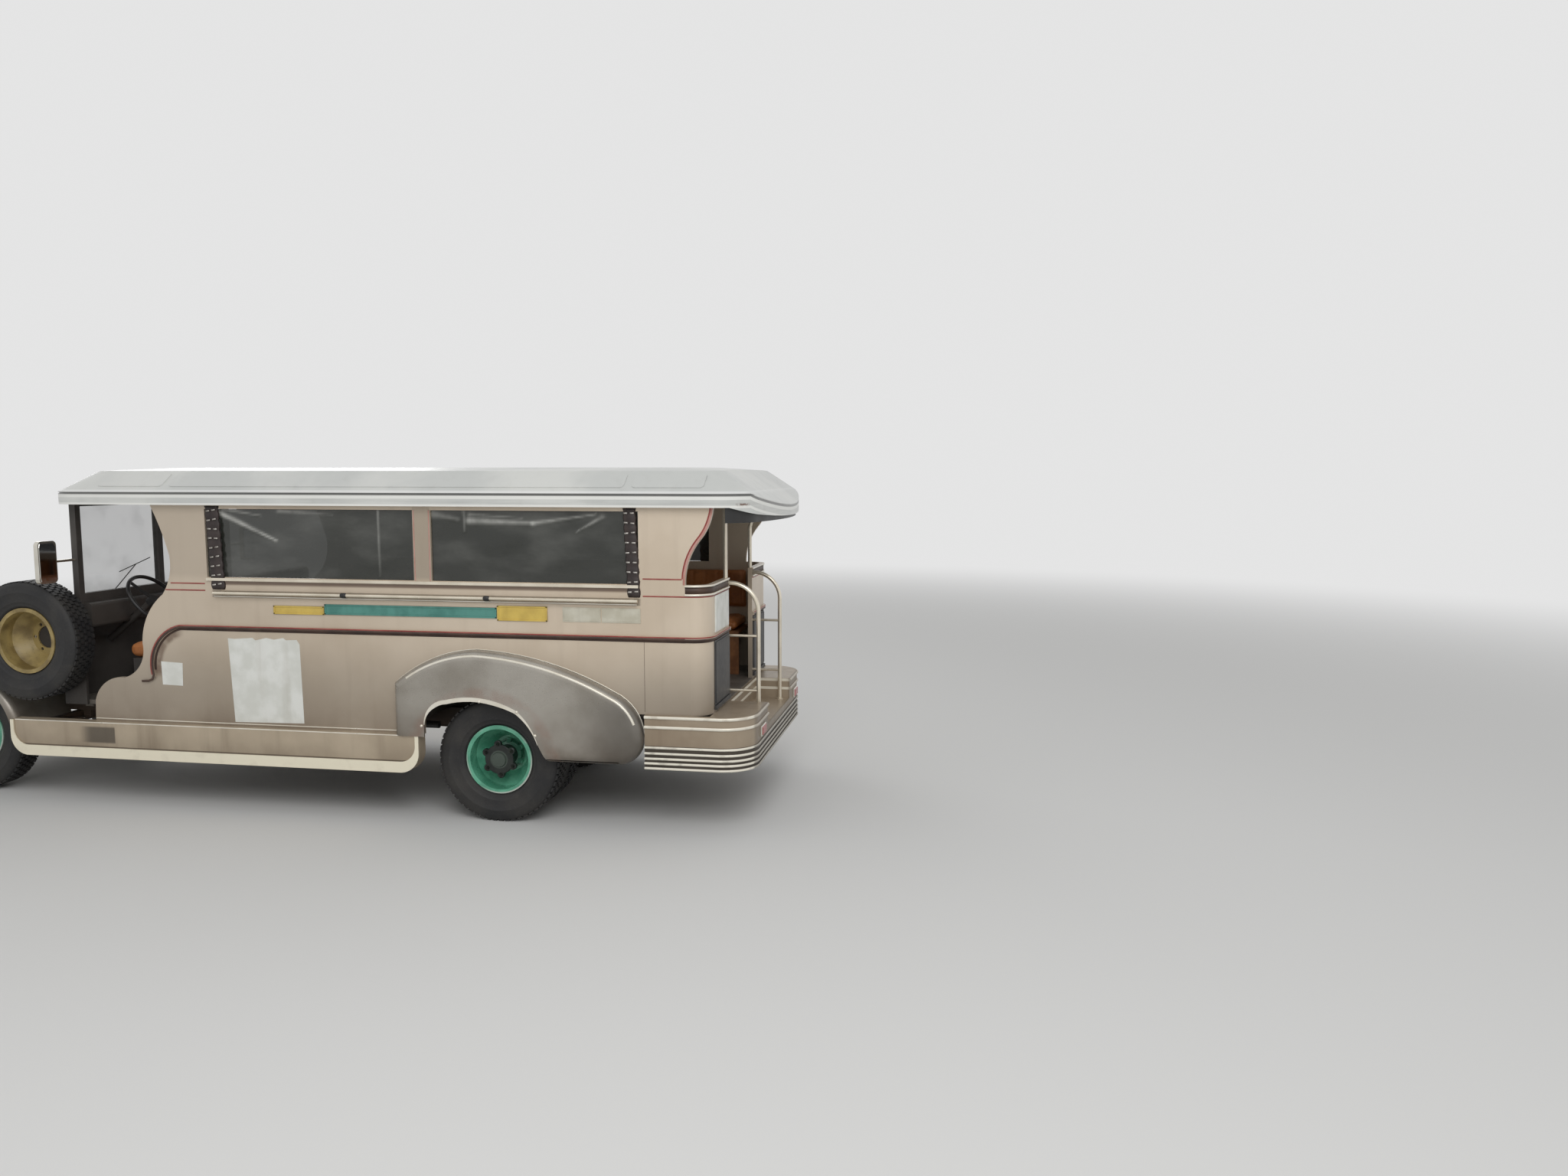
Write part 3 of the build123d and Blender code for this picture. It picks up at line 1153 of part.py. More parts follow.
def front_seat():
    """Front bench: seat cushion and backrest."""
    seat = box(SEAT_REAR, SEAT_REAR + SEAT_DEPTH, -SEAT_HALF, SEAT_HALF,
               SEAT_BOX_TOP + SEAT_GAP, SEAT_BOX_TOP + SEAT_T)
    seat = fillet(seat.edges().filter_by(Axis.Y).sort_by(Axis.Z)[-2:], CUSHION_ROUND)
    back_rear = PARTITION_X + SEAT_GAP
    back = box(back_rear, back_rear + BACKREST_T, -SEAT_HALF, SEAT_HALF,
               SEAT_BOX_TOP + SEAT_T + 5, BACKREST_TOP)
    back = fillet(back.edges().filter_by(Axis.Y).sort_by(Axis.Z)[-2:], CUSHION_ROUND)
    return [seat, back]


def front_seat_box():
    """Box that carries the front bench."""
    half = SEAT_HALF - 20
    return box(SEAT_REAR, SEAT_REAR + SEAT_DEPTH - 40, -half, half, CAB_FLOOR_TOP, SEAT_BOX_TOP)


def steering_plane():
    """Plane of the steering wheel, its normal up along the column."""
    tilt = math.radians(COLUMN_TILT)
    return Plane(origin=(STEER_X, STEER_Y, STEER_Z), z_dir=(-math.cos(tilt), 0, math.sin(tilt)))


def steering_wheel():
    """Rim, three spokes and boss."""
    plane = steering_plane()
    wheel = plane * Torus(WHEEL_STEER_R, STEER_RIM_R)
    wheel += plane * Pos(0, 0, 2 - STEER_BOSS_H / 2) * Cylinder(STEER_BOSS_R, STEER_BOSS_H)
    for turn in range(3):
        spoke = Pos(WHEEL_STEER_R / 2, 0, -6) * Box(WHEEL_STEER_R, 26.0, 8.0)
        wheel += plane * Rot(0, 0, 90 + 120 * turn) * spoke
    return wheel


def column_rod(radius):
    """Round bar along the steering column, from below the wheel's boss to the firewall."""
    plane = steering_plane()
    start = plane.origin - plane.z_dir * (STEER_BOSS_H - 2 + SEAT_GAP)
    foot_gap = COLUMN_R * math.sin(math.radians(COLUMN_TILT)) + SEAT_GAP
    run = (FIREWALL_X - COWL_T - start.X - foot_gap) / -plane.z_dir.X
    end = start - plane.z_dir * run
    return rod(tuple(start), tuple(end), radius)


def mirror_arm():
    """Left door mirror on its arm from the windscreen post."""
    x = SCREEN_X + SCREEN_T / 2
    z = MIRROR_LOW + MIRROR_H / 2
    inner = MIRROR_HALF - MIRROR_W
    arm = rod((x, SCREEN_HALF, z), (x, inner + MIRROR_W / 2, z), BAR_R)
    head = box(x - MIRROR_T / 2, x + MIRROR_T / 2, inner, MIRROR_HALF, MIRROR_LOW, MIRROR_LOW + MIRROR_H)
    return arm + fillet(head.edges().filter_by(Axis.X), 30.0)


def tail_lamp():
    """Left tail lamp on the flat rear face of the valance, between its ribs."""
    lamp = box(STEP_REAR - TAIL_LAMP_T, STEP_REAR, TAIL_LAMP_Y, TAIL_LAMP_Y + TAIL_LAMP_W, TAIL_LAMP_Z,
               TAIL_LAMP_Z + TAIL_LAMP_H)
    return fillet(lamp.edges().group_by(Axis.X)[0], TAIL_LAMP_T / 2 - 1)


def curtain():
    """Left pair of clear roll-down curtains, one in each window."""
    y = BODY_HALF - WALL / 2
    half = CURTAIN_T / 2
    return [box(low, high, y - half, y + half, WINDOW_LOW, WINDOW_HIGH) for low, high in PANES]


def window_rail():
    """Left pair of long bright rails below the windows, the lower one on its brackets."""
    top = WINDOW_LOW - 4
    upper = box(PANE_REAR, PANE_FRONT, BODY_HALF, BODY_HALF + SILL_RAIL_OUT, top - SILL_RAIL_H, top)
    y = BODY_HALF + SIDE_ROD_OUT
    front = PANE_FRONT - 60
    lower = rod((PANE_REAR, y, SIDE_ROD_Z), (front, y, SIDE_ROD_Z), SIDE_ROD_R)
    for x in (PANE_REAR + 40, PILLAR_X - 437, PILLAR_X + 530, front - 50):
        lower += box(x - 14, x + 14, BODY_HALF, y - 4, SIDE_ROD_Z - 10, SIDE_ROD_Z + 10)
    return [upper, lower]


PARTS = {}


def add(name, shape):
    """Keeps a finished piece under its node's name, moved to the vehicle's own origin."""
    solids = shape if isinstance(shape, list) else [shape]
    flat = []
    for item in solids:
        flat.extend(item.solids())
    moved = [Pos(-X_MID, 0, 0) * solid for solid in flat]
    PARTS[name] = moved[0] if len(moved) == 1 else Compound(children=moved)


add("frame", frame())
add("engine", engine())
add("axles", [rear_axle(), front_axle()])
packs = both_sides(leaf_pack(0.0, rear_leaf_top(), REAR_CAMBER))
packs += both_sides(leaf_pack(WHEELBASE, front_leaf_top(), FRONT_CAMBER))
add("leaf_springs", packs)
add("fuel_tank", fuel_tank())
add("exhaust", exhaust())
add("floor", floor())

rear_rim, rear_tyres = twin_wheel()
front_rim, front_tyre = single_wheel()
rear_at = Pos(0, REAR_OUTER_Y, AXLE_Z)
front_at = Pos(WHEELBASE, FRONT_TRACK_Y, AXLE_Z)
for side_name, turn in (("left", lambda shape: shape), ("right", other_side)):
    add(f"rear_rim_{side_name}", turn(rear_at * rear_rim))
    add(f"rear_tyres_{side_name}", [turn(rear_at * one) for one in rear_tyres])
    add(f"front_rim_{side_name}", turn(front_at * front_rim))
    add(f"front_tyre_{side_name}", turn(front_at * front_tyre))
    add(f"knuckle_{side_name}", turn(knuckle()))
    add(f"side_{side_name}", turn(side_panel()))
add("track_rod", track_rod())
spare_at = Pos(SPARE_X, COWL_HALF + DISC_OFFSET, SPARE_Z)
add("spare_rim", spare_at * bored_rim())
add("spare_tyre", spare_at * tyre())

add("rear_corners", rear_corners())
add("rear_step", rear_step())
add("roof", roof())
add("rear_skirt", rear_skirt())
add("handrails", both_sides(ceiling_rail()) + both_sides(hoop()) + [door_post(), braced_post()])
add("running_boards", both_sides(running_board()))
add("rear_fenders", both_sides(rear_fender()))
add("front_fenders", both_sides(front_fender()))
add("cowl", [cowl(), column_rod(COLUMN_R)])
add("screen_frame", screen_frame())
add("screen_glass", screen_glass())
add("nose_sides", nose_sides())
add("bonnet", bonnet())
add("grille", grille())
add("lamps", both_sides(headlamp()) + both_sides(tail_lamp()))
add("bumper", bumper())
add("bench_bases", both_sides(bench_base()))
add("seat_cushions", bench_cushions() + [other_side(one) for one in bench_cushions()] + front_seat())
add("cab_boards", [partition(), front_seat_box()])
add("steering_wheel", steering_wheel())
add("mirrors", both_sides(mirror_arm()))
add("curtains", curtain() + [other_side(one) for one in curtain()])
add("window_rails", window_rail() + [other_side(one) for one in window_rail()])

os.makedirs("parts", exist_ok=True)
for node, solid in PARTS.items():
    export_step(solid, f"parts/{node}.step")
print(len(PARTS), "nodes written")
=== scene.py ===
"""A long-bodied jeepney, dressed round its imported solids. Lengths are in metres."""

import logging
import math
from dataclasses import dataclass, field
from enum import Enum
from functools import cache, reduce
from typing import Any, Iterable, Optional, Sequence, Union

import bmesh
import bpy
from mathutils import Matrix, Vector, noise


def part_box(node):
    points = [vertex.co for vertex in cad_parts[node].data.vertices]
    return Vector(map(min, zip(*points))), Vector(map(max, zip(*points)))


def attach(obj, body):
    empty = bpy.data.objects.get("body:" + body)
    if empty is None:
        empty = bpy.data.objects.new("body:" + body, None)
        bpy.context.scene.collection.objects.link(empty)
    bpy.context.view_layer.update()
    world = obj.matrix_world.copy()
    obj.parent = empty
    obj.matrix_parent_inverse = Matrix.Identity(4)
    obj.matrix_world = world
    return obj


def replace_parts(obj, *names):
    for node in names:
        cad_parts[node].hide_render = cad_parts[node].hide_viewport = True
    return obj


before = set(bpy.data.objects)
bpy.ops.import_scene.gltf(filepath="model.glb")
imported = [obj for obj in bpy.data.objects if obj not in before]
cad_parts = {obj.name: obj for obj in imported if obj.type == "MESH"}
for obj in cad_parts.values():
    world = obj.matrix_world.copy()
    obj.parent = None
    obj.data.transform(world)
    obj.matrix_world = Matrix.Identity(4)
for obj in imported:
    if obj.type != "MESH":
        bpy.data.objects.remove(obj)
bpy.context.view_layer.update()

Point = tuple[float, float, float]
Flat = tuple[float, float]
Colour = tuple[float, float, float]
Path = Sequence[Sequence[float]]

AXLE_BACK = 1.470  # from the middle of the vehicle back to the rear axle
FRONT_AXLE = 3.950
WHEEL_Z = 0.403
BODY_HALF = 0.930
BODY_REAR = -1.400
CORNER_R = 0.120
WINDOW_LOW = 1.550
WINDOW_HIGH = 1.995
PANES = ((-0.960, 0.393), (0.512, 1.965))
SIDES = ((1, "left"), (-1, "right"))
OUT = (0.0, 1.0, 0.0)
UP = (0.0, 0.0, 1.0)
LOG = logging.getLogger("jeepney")


class Body(Enum):
    """The moving bodies that pieces ride on."""

    CHASSIS = "chassis"
    REAR_LEFT = "rear_wheels_left"
    REAR_RIGHT = "rear_wheels_right"
    FRONT_LEFT = "front_wheel_left"
    FRONT_RIGHT = "front_wheel_right"


def at(x: float, y: float, z: float) -> Point:
    """Place of a point whose X is measured forward from the rear axle.

    Args:
        x: Distance forward of the rear axle.
        y: Distance to the vehicle's left.
        z: Height above the ground.

    Returns:
        The point in the vehicle's own frame.
    """
    return (x - AXLE_BACK, y, z)


def srgb(red: int, green: int, blue: int) -> Colour:
    """Linear colour of a screen colour.

    Args:
        red: Red, 0 to 255.
        green: Green, 0 to 255.
        blue: Blue, 0 to 255.

    Returns:
        The linear colour.
    """
    parts = [value / 255 for value in (red, green, blue)]
    linear = [part / 12.92 if part <= 0.04045 else ((part + 0.055) / 1.055) ** 2.4 for part in parts]
    return (linear[0], linear[1], linear[2])


def arc(start: Flat, middle: Flat, end: Flat, steps: int) -> list[Flat]:
    """Points along the arc through three points.

    Args:
        start: First point.
        middle: A point on the arc.
        end: Last point.
        steps: Number of chords.

    Returns:
        The points, both ends included.
    """
    (ax, ay), (bx, by), (cx, cy) = start, middle, end
    twice = 2 * (ax * (by - cy) + bx * (cy - ay) + cx * (ay - by))
    sa, sb, sc = ax * ax + ay * ay, bx * bx + by * by, cx * cx + cy * cy
    ux = (sa * (by - cy) + sb * (cy - ay) + sc * (ay - by)) / twice
    uy = (sa * (cx - bx) + sb * (ax - cx) + sc * (bx - ax)) / twice
    radius = math.hypot(ax - ux, ay - uy)
    first = math.atan2(ay - uy, ax - ux)
    turns = [(math.atan2(y - uy, x - ux) - first) % (2 * math.pi) for x, y in (middle, end)]
    sweep = turns[1] if turns[0] < turns[1] else turns[1] - 2 * math.pi
    angles = [first + sweep * step / steps for step in range(steps + 1)]
    return [(ux + radius * math.cos(angle), uy + radius * math.sin(angle)) for angle in angles]


def arcs(start: Flat, *spans: tuple[Flat, Flat, int]) -> list[Flat]:
    """Points along arcs that follow one another.

    Args:
        start: First point.
        spans: A point on each arc, its end and its number of chords.

    Returns:
        The points.
    """
    path = [start]
    for middle, end, steps in spans:
        path += arc(path[-1], middle, end, steps)[1:]
    return path


def upright(path: Iterable[Flat], y: float) -> list[Point]:
    """Path of X, forward of the rear axle, and Z, in the plane at a Y."""
    return [at(x, y, z) for x, z in path]


def both(*paths: Path) -> list[Path]:
    """Each path on the left, followed by its copy on the right."""
    return [[(p[0], side * p[1], p[2]) for p in path] for path in paths for side, _ in SIDES]


def beside(path: Sequence[Flat], distance: Union[float, Sequence[float]]) -> list[Flat]:
    """The path moved sideways, to the right of its direction when the distance is positive.

    Args:
        path: Points of the path.
        distance: How far it moves, or how far each point moves.

    Returns:
        The moved points.
    """
    moved = []
    spread = [distance] * len(path) if isinstance(distance, float) else distance
    for index, ((x, y), away) in enumerate(zip(path, spread)):
        (ax, ay), (bx, by) = path[max(index - 1, 0)], path[min(index + 1, len(path) - 1)]
        length = math.hypot(bx - ax, by - ay)
        moved.append((x + (by - ay) / length * away, y - (bx - ax) / length * away))
    return moved


class Wiring:
    """A node tree with one method that makes any of its nodes."""

    def __init__(self, tree: bpy.types.NodeTree) -> None:
        """Keeps the tree that the nodes go into."""
        self.tree = tree

    def feed(self, socket: bpy.types.NodeSocket, value: Any) -> None:
        """Sets an input, or links what stands for it.

        Args:
            socket: The input.
            value: A value, a socket or a sum.
        """
        value = value.socket if isinstance(value, Sum) else value
        if isinstance(value, bpy.types.NodeSocket):
            self.tree.links.new(value, socket)
        elif socket.type == "RGBA" and len(value) == 3:
            socket.default_value = (*value, 1.0)
        else:
            socket.default_value = value

    def node(self, kind: str, settings: Optional[dict[str, Any]] = None,
             inputs: Optional[dict[Union[int, str], Any]] = None) -> bpy.types.Node:
        """Makes a node, its settings first and its sockets after them.

        Args:
            kind: The node's type.
            settings: Its properties.
            inputs: Values, sockets or sums for its inputs, by name or by place.

        Returns:
            The node.
        """
        made = self.tree.nodes.new(kind)
        for name, value in (settings or {}).items():
            setattr(made, name, value)
        for name, value in (inputs or {}).items():
            self.feed(made.inputs[name], value)
        return made


class Sum:
    """A number socket that can stand in an expression."""

    def __init__(self, wiring: Wiring, socket: bpy.types.NodeSocket) -> None:
        """Keeps the socket and the tree that it is in."""
        self.wiring = wiring
        self.socket = socket

    def math(self, operation: str, first: Any, second: Any = 0.0) -> "Sum":
        """One Math node.

        Args:
            operation: The node's operation.
            first: Its first value.
            second: Its second value.

        Returns:
            The result.
        """
        made = self.wiring.node("ShaderNodeMath", {"operation": operation}, {0: first, 1: second})
        return Sum(self.wiring, made.outputs[0])

    def __add__(self, other: Any) -> "Sum":
        """This and the other."""
        return self.math("ADD", self, other)

    __radd__ = __add__

    def __mul__(self, other: Any) -> "Sum":
        """This times the other."""
        return self.math("MULTIPLY", self, other)

    __rmul__ = __mul__

    def __sub__(self, other: Any) -> "Sum":
        """This less the other."""
        return self.math("SUBTRACT", self, other)

    def __rsub__(self, other: Any) -> "Sum":
        """The other less this."""
        return self.math("SUBTRACT", other, self)

    def __abs__(self) -> "Sum":
        """This without its sign."""
        return self.math("ABSOLUTE", self)

    def root(self) -> "Sum":
        """The square root of this."""
        return self.math("SQRT", self)

    def both(self, other: Any) -> "Sum":
        """The lesser of the two."""
        return self.math("MINIMUM", self, other)

    def either(self, other: Any) -> "Sum":
        """The greater of the two."""
        return self.math("MAXIMUM", self, other)

    def rise(self, low: float, high: float) -> "Sum":
        """Smooth step that is 0 at low and 1 at high.

        Args:
            low: Where it is 0.
            high: Where it is 1, above or below low.

        Returns:
            The step.
        """
        made = self.wiring.node(
            "ShaderNodeMapRange", {"interpolation_type": "SMOOTHSTEP"},
            {0: self, 1: min(low, high), 2: max(low, high), 3: float(low > high), 4: float(low <= high)},
        )
        return Sum(self.wiring, made.outputs[0])

    def near(self, middle: float, reach: float, soft: float) -> "Sum":
        """1 within a reach of a value, and 0 beyond it.

        Args:
            middle: The value.
            reach: Half the band.
            soft: Width of its edges.

        Returns:
            The band.
        """
        return abs(self - middle).rise(reach + soft, reach)


class Sheen(Wiring):
    """A material under construction."""

    def __init__(self, name: str) -> None:
        """Makes the material with its shader and the place on the piece.

        Args:
            name: The material's name.
        """
        self.material = bpy.data.materials.new(name)
        self.material.use_nodes = True
        super().__init__(self.material.node_tree)
        self.shader = self.tree.nodes["Principled BSDF"]
        self.place = self.node("ShaderNodeTexCoord").outputs["Object"]
        axes = self.node("ShaderNodeSeparateXYZ", None, {0: self.place})
        self.x, self.y, self.z = (Sum(self, axes.outputs[index]) for index in range(3))
        self.forward = self.x + AXLE_BACK

    def radius(self, x: float, z: float) -> Sum:
        """Distance from a line along Y, at X forward of the rear axle and a height."""
        across, up = self.forward - x, self.z - z
        return (across * across + up * up).root()

    def noise(self, scale: float, detail: float = 3.0, stretch: Point = (1.0, 1.0, 1.0)) -> Sum:
        """Cloudy noise.

        Args:
            scale: Clouds to the metre.
            detail: Finer layers on them.
            stretch: Scale of each axis.

        Returns:
            Noise about 0.5.
        """
        place = self.node("ShaderNodeVectorMath", {"operation": "MULTIPLY"}, {0: self.place, 1: stretch})
        inputs = {"Vector": place.outputs[0], "Scale": scale, "Detail": detail}
        return Sum(self, self.node("ShaderNodeTexNoise", None, inputs).outputs[0])

    def mix(self, factor: Any, first: Any, second: Any) -> bpy.types.NodeSocket:
        """One colour turning into another.

        Args:
            factor: Share of the second.
            first: A colour or its socket.
            second: A colour or its socket.

        Returns:
            The mixed colour.
        """
        made = self.node("ShaderNodeMix", {"data_type": "RGBA"}, {0: factor, 6: first, 7: second})
        return made.outputs[2]

    def attribute(self, name: str) -> Sum:
        """A number that is kept on the mesh's own points."""
        return Sum(self, self.node("ShaderNodeAttribute", {"attribute_name": name}).outputs["Fac"])

    def set(self, **inputs: Any) -> None:
        """Sets the shader's own sockets, whose spaces are written as underscores."""
        for name, value in inputs.items():
            self.feed(self.shader.inputs[name.replace("_", " ")], value)

    def dent(self, height: Sum, distance: float, strength: float = 1.0) -> None:
        """Bumps the surface by a height.

        Args:
            height: The height, about 0 to 1.
            distance: Metres that 1 stands for.
            strength: Share of the effect.
        """
        inputs = {"Height": height, "Distance": distance, "Strength": strength}
        self.set(Normal=self.node("ShaderNodeBump", None, inputs).outputs["Normal"])


@dataclass(frozen=True)
class Finish:
    """What covers a piece, under the name of its material."""

    name: str

    def dress(self, sheen: Sheen) -> None:
        """Sets the material's colour and surface, in each finish's own way."""

    @cache
    def build(self) -> bpy.types.Material:
        """The finished material.

        Returns:
            The material, made once under its name.
        """
        sheen = Sheen(self.name)
        self.dress(sheen)
        return sheen.material


@dataclass(frozen=True)
class Paint(Finish):
    """Painted or plated metal with mottling, streaks and dirt that thickens downwards."""

    base: Colour
    second: Colour
    dirt: Colour = (0.10, 0.082, 0.066)
    mottle: float = 2.2
    streak: float = 0.25
    dirt_low: float = 0.0
    dirt_high: float = 0.0
    speckle: float = 0.012
    rough: float = 0.45
    vary: float = 0.16
    metal: float = 0.0
    coat: float = 0.0
    dents: float = 0.0015

    def extra(self, sheen: Sheen, colour: bpy.types.NodeSocket) -> bpy.types.NodeSocket:
        """What a finish lays over the paint: nothing here."""
        return colour

    def dress(self, sheen: Sheen) -> None:
        """Sets the mottled paint with its dirt, its roughness and its dents.

        Args:
            sheen: The material under construction.
        """
        colour = sheen.mix(sheen.noise(self.mottle, 4.0).rise(0.36, 0.66), self.base, self.second)
        runs = sheen.noise(1.0, 5.0, (11.0, 11.0, 0.9)).rise(0.52, 0.78)
        specks = sheen.noise(90.0, 2.0).rise(0.62, 0.74)
        dirt = runs * self.streak + specks * self.speckle
        if self.dirt_high > self.dirt_low:
            patches = sheen.noise(3.4, 5.0).rise(0.30, 0.72)
            dirt = dirt + sheen.z.rise(self.dirt_high, self.dirt_low) * (patches * 0.6 + 0.25)
        dirt = dirt.both(1.0)
        grain = sheen.noise(26.0, 3.0)
        rough = grain * self.vary + dirt * 0.25 + (self.rough - self.vary / 2)
        sheen.set(Base_Color=self.extra(sheen, sheen.mix(dirt, colour, self.dirt)), Roughness=rough,
                  Metallic=self.metal, Coat_Weight=self.coat, Coat_Roughness=0.18)
        sheen.dent(sheen.noise(3.2, 2.0) * 0.85 + grain * 0.15, self.dents)


@dataclass(frozen=True)
class SidePaint(Paint):
    """Body paint: painted shade ahead, on the pillars, under the rail and at the rods; darker below; brown in
    the belt's turn.
    """

    turn_x: float = 2.1280
    turn_z: float = 0.9539
    turn_r: float = 0.2789
    pillar_x: float = 0.4525
    rail_z: float = 1.514
    rod_z: float = 1.441
    shade: Colour = (0.12, 0.10, 0.078)

    def extra(self, sheen: Sheen, colour: bpy.types.NodeSocket) -> bpy.types.NodeSocket:
        """Lays the painted shade, the darkening towards the bottom, the painted shadows at the rail and the
        rods, and the brown patch over the paint.

        Args:
            sheen: The material under construction.
            colour: The paint.

        Returns:
            The colour with all of them.
        """
        # Painted shade towards the front and on the pillars; the body is also darker towards the bottom.
        ahead = sheen.forward.rise(-0.9, 2.3) * 0.14
        low = sheen.z.rise(1.27, 0.78) * (sheen.forward.rise(-0.5, -1.2) * 0.22 + 0.36)
        pillar = sheen.forward.near(self.pillar_x, 0.055, 0.008) * 0.40
        pillars = pillar.either(sheen.forward.rise(1.70, 2.05) * 0.15) * sheen.z.near(1.78, 0.20, 0.06)
        darkened = sheen.mix(ahead + low + pillars, colour, self.shade)
        along = sheen.forward.near(0.4825, 1.440, 0.02) * abs(sheen.y).rise(0.91, 0.92)
        # Painted shadow under the window rail, and painted shade behind the rods.
        rail_shadowed = sheen.mix(along * sheen.z.near(self.rail_z, 0.004, 0.018) * 0.8, darkened, srgb(84, 60, 48))
        rod_shaded = sheen.mix(along * sheen.z.near(self.rod_z, 0.020, 0.005) * 0.62, rail_shadowed, srgb(84, 76, 66))
        ring = sheen.radius(self.turn_x, self.turn_z).near(self.turn_r - 0.046, 0.012, 0.030)
        inside = ring * (sheen.forward - self.turn_x).rise(0.02, 0.10) * sheen.z.rise(0.86, 0.92)
        patchy = sheen.noise(16.0, 4.0).rise(0.25, 0.60) * 0.35 + 0.45
        return sheen.mix(inside * patchy, rod_shaded, srgb(112, 90, 74))


@dataclass(frozen=True)
class FenderPaint(Paint):
    """Fender paint with rust-brown breath over the wheel opening and painted shade on its low rear end."""

    opening_x: float = 0.06
    opening_z: float = 0.36
    opening_r: float = 0.500

    def extra(self, sheen: Sheen, colour: bpy.types.NodeSocket) -> bpy.types.NodeSocket:
        """Lays the brown and the painted shade over the paint.

        Args:
            sheen: The material under construction.
            colour: The paint.

        Returns:
            The colour with both.
        """
        ring = sheen.radius(self.opening_x, self.opening_z).near(self.opening_r - 0.01, 0.014, 0.045)
        breath = ring * sheen.noise(6.0, 4.0).rise(0.30, 0.60) * 0.34
        brown = sheen.mix(breath, colour, srgb(142, 104, 88))
        # Painted shade on the fender's low rear end.
        rear = sheen.forward.rise(-0.45, -0.92) * sheen.z.rise(1.0, 0.74) * 0.62
        return sheen.mix(rear, brown, (0.085, 0.078, 0.068))


@dataclass(frozen=True)
class Banded(Paint):
    """Paint with painted highlights along bands at given heights, and painted shade below a height and on the
    rear face.
    """

    bands: tuple[Flat, ...] = ()
    bright: Colour = (0.84, 0.80, 0.69)
    dark_below: float = 0.0
    rear_x: float = -1.663

    def extra(self, sheen: Sheen, colour: bpy.types.NodeSocket) -> bpy.types.NodeSocket:
        """Lays the painted highlights of the bands and the painted shade over the paint.

        Args:
            sheen: The material under construction.
            colour: The paint.

        Returns:
            The banded colour.
        """
        # Painted highlights along the ribs.
        rib_highlights = reduce(Sum.either, [sheen.z.near(middle, reach, 0.002) for middle, reach in self.bands])
        worn = sheen.noise(14.0, 4.0).rise(0.72, 0.52) * 0.3 + 0.68
        # Painted shade between the lower ribs and on the rear face, which also dims the highlights there.
        shade = sheen.z.rise(self.dark_below + 0.002, self.dark_below) * 0.85
        rear = sheen.forward.rise(self.rear_x + 0.013, self.rear_x)
        shaded = sheen.mix(shade.either(rear * 0.34), colour, (0.028, 0.023, 0.019))
        return sheen.mix(rib_highlights * worn * (1.0 - rear * 0.55), shaded, self.bright)


@dataclass(frozen=True)
class Stripped(Paint):
    """Paint whose outermost face, beyond a distance from the middle, is bright."""

    beyond: float = 0.9935
    seam_z: float = 0.3975
    stain_z: float = 0.480
    bright: Colour = (0.90, 0.84, 0.67)

    def extra(self, sheen: Sheen, colour: bpy.types.NodeSocket) -> bpy.types.NodeSocket:
        """Lays the bright strip, its seam and the dark patch near the front over the paint.

        Args:
            sheen: The material under construction.
            colour: The paint.

        Returns:
            The colour with all of them.
        """
        ends = sheen.forward.rise(2.664, 2.672) * sheen.forward.rise(2.95, 2.84)
        stain = ends * sheen.z.near(self.stain_z, 0.046, 0.016) * 0.78
        stained = sheen.mix(stain, colour, (0.06, 0.050, 0.038))
        seam = sheen.z.near(self.seam_z, 0.0025, 0.003) * abs(sheen.y).rise(0.984, 0.986)
        lined = sheen.mix(seam * 0.75, stained, (0.06, 0.045, 0.034))
        worn = sheen.noise(9.0, 4.0).rise(0.75, 0.5) * 0.16 + 0.82
        return sheen.mix(abs(sheen.y).rise(self.beyond - 0.001, self.beyond) * worn, lined, self.bright)


@dataclass(frozen=True)
class Rusted(Paint):
    """Roof paint with rust at one place on each side, painted shade in the fascia's groove, painted
    highlights on its edges and above the groove, and painted reflections streaked along it.
    """

    rust_x: float = -1.60
    rust_z: float = 2.035
    groove_z: float = 2.104
    tail_x: float = -1.760
    tail_z: float = 2.018
    tail_slope: float = 0.706

    def extra(self, sheen: Sheen, colour: bpy.types.NodeSocket) -> bpy.types.NodeSocket:
        """Lays the rust, the painted reflections, the painted highlights and the painted shade of the groove
        over the paint.

        Args:
            sheen: The material under construction.
            colour: The paint.

        Returns:
            The colour with all of them.
        """
        near = sheen.forward.near(self.rust_x, 0.016, 0.026) * sheen.z.near(self.rust_z, 0.004, 0.012)
        ragged = sheen.noise(70.0, 4.0).rise(0.36, 0.58)
        rusty = sheen.mix(near * ragged, colour, srgb(104, 68, 48))
        tail = (sheen.forward - self.tail_x) * self.tail_slope + self.tail_z
        below = tail.both(self.groove_z) - sheen.z
        groove = below.near(0.009, 0.006, 0.004)
        # Grey streaks along the fascia: painted reflections.
        reflection_streaks = sheen.noise(1.0, 4.0, (2.5, 2.5, 55.0)).rise(0.40, 0.66) * below.near(0.050, 0.034, 0.006)
        darkened = sheen.mix(reflection_streaks * 0.20, rusty, srgb(150, 150, 146))
        # Painted highlights along the fascia's edges.
        edge_highlights = below.near(0.024, 0.010, 0.006).either(below.near(0.079, 0.006, 0.004)) * 0.75
        bright = sheen.mix(edge_highlights, darkened, (0.86, 0.86, 0.82))
        # Painted highlight along the line above the groove, ahead of the tail.
        ahead = sheen.forward.rise(self.tail_x + 0.10, self.tail_x + 0.16)
        lined = sheen.mix(below.near(-0.007, 0.004, 0.005) * ahead * 0.5, bright, (0.88, 0.88, 0.87))
        # Painted shade in the groove.
        return sheen.mix(groove * 0.80, lined, (0.10, 0.098, 0.095))


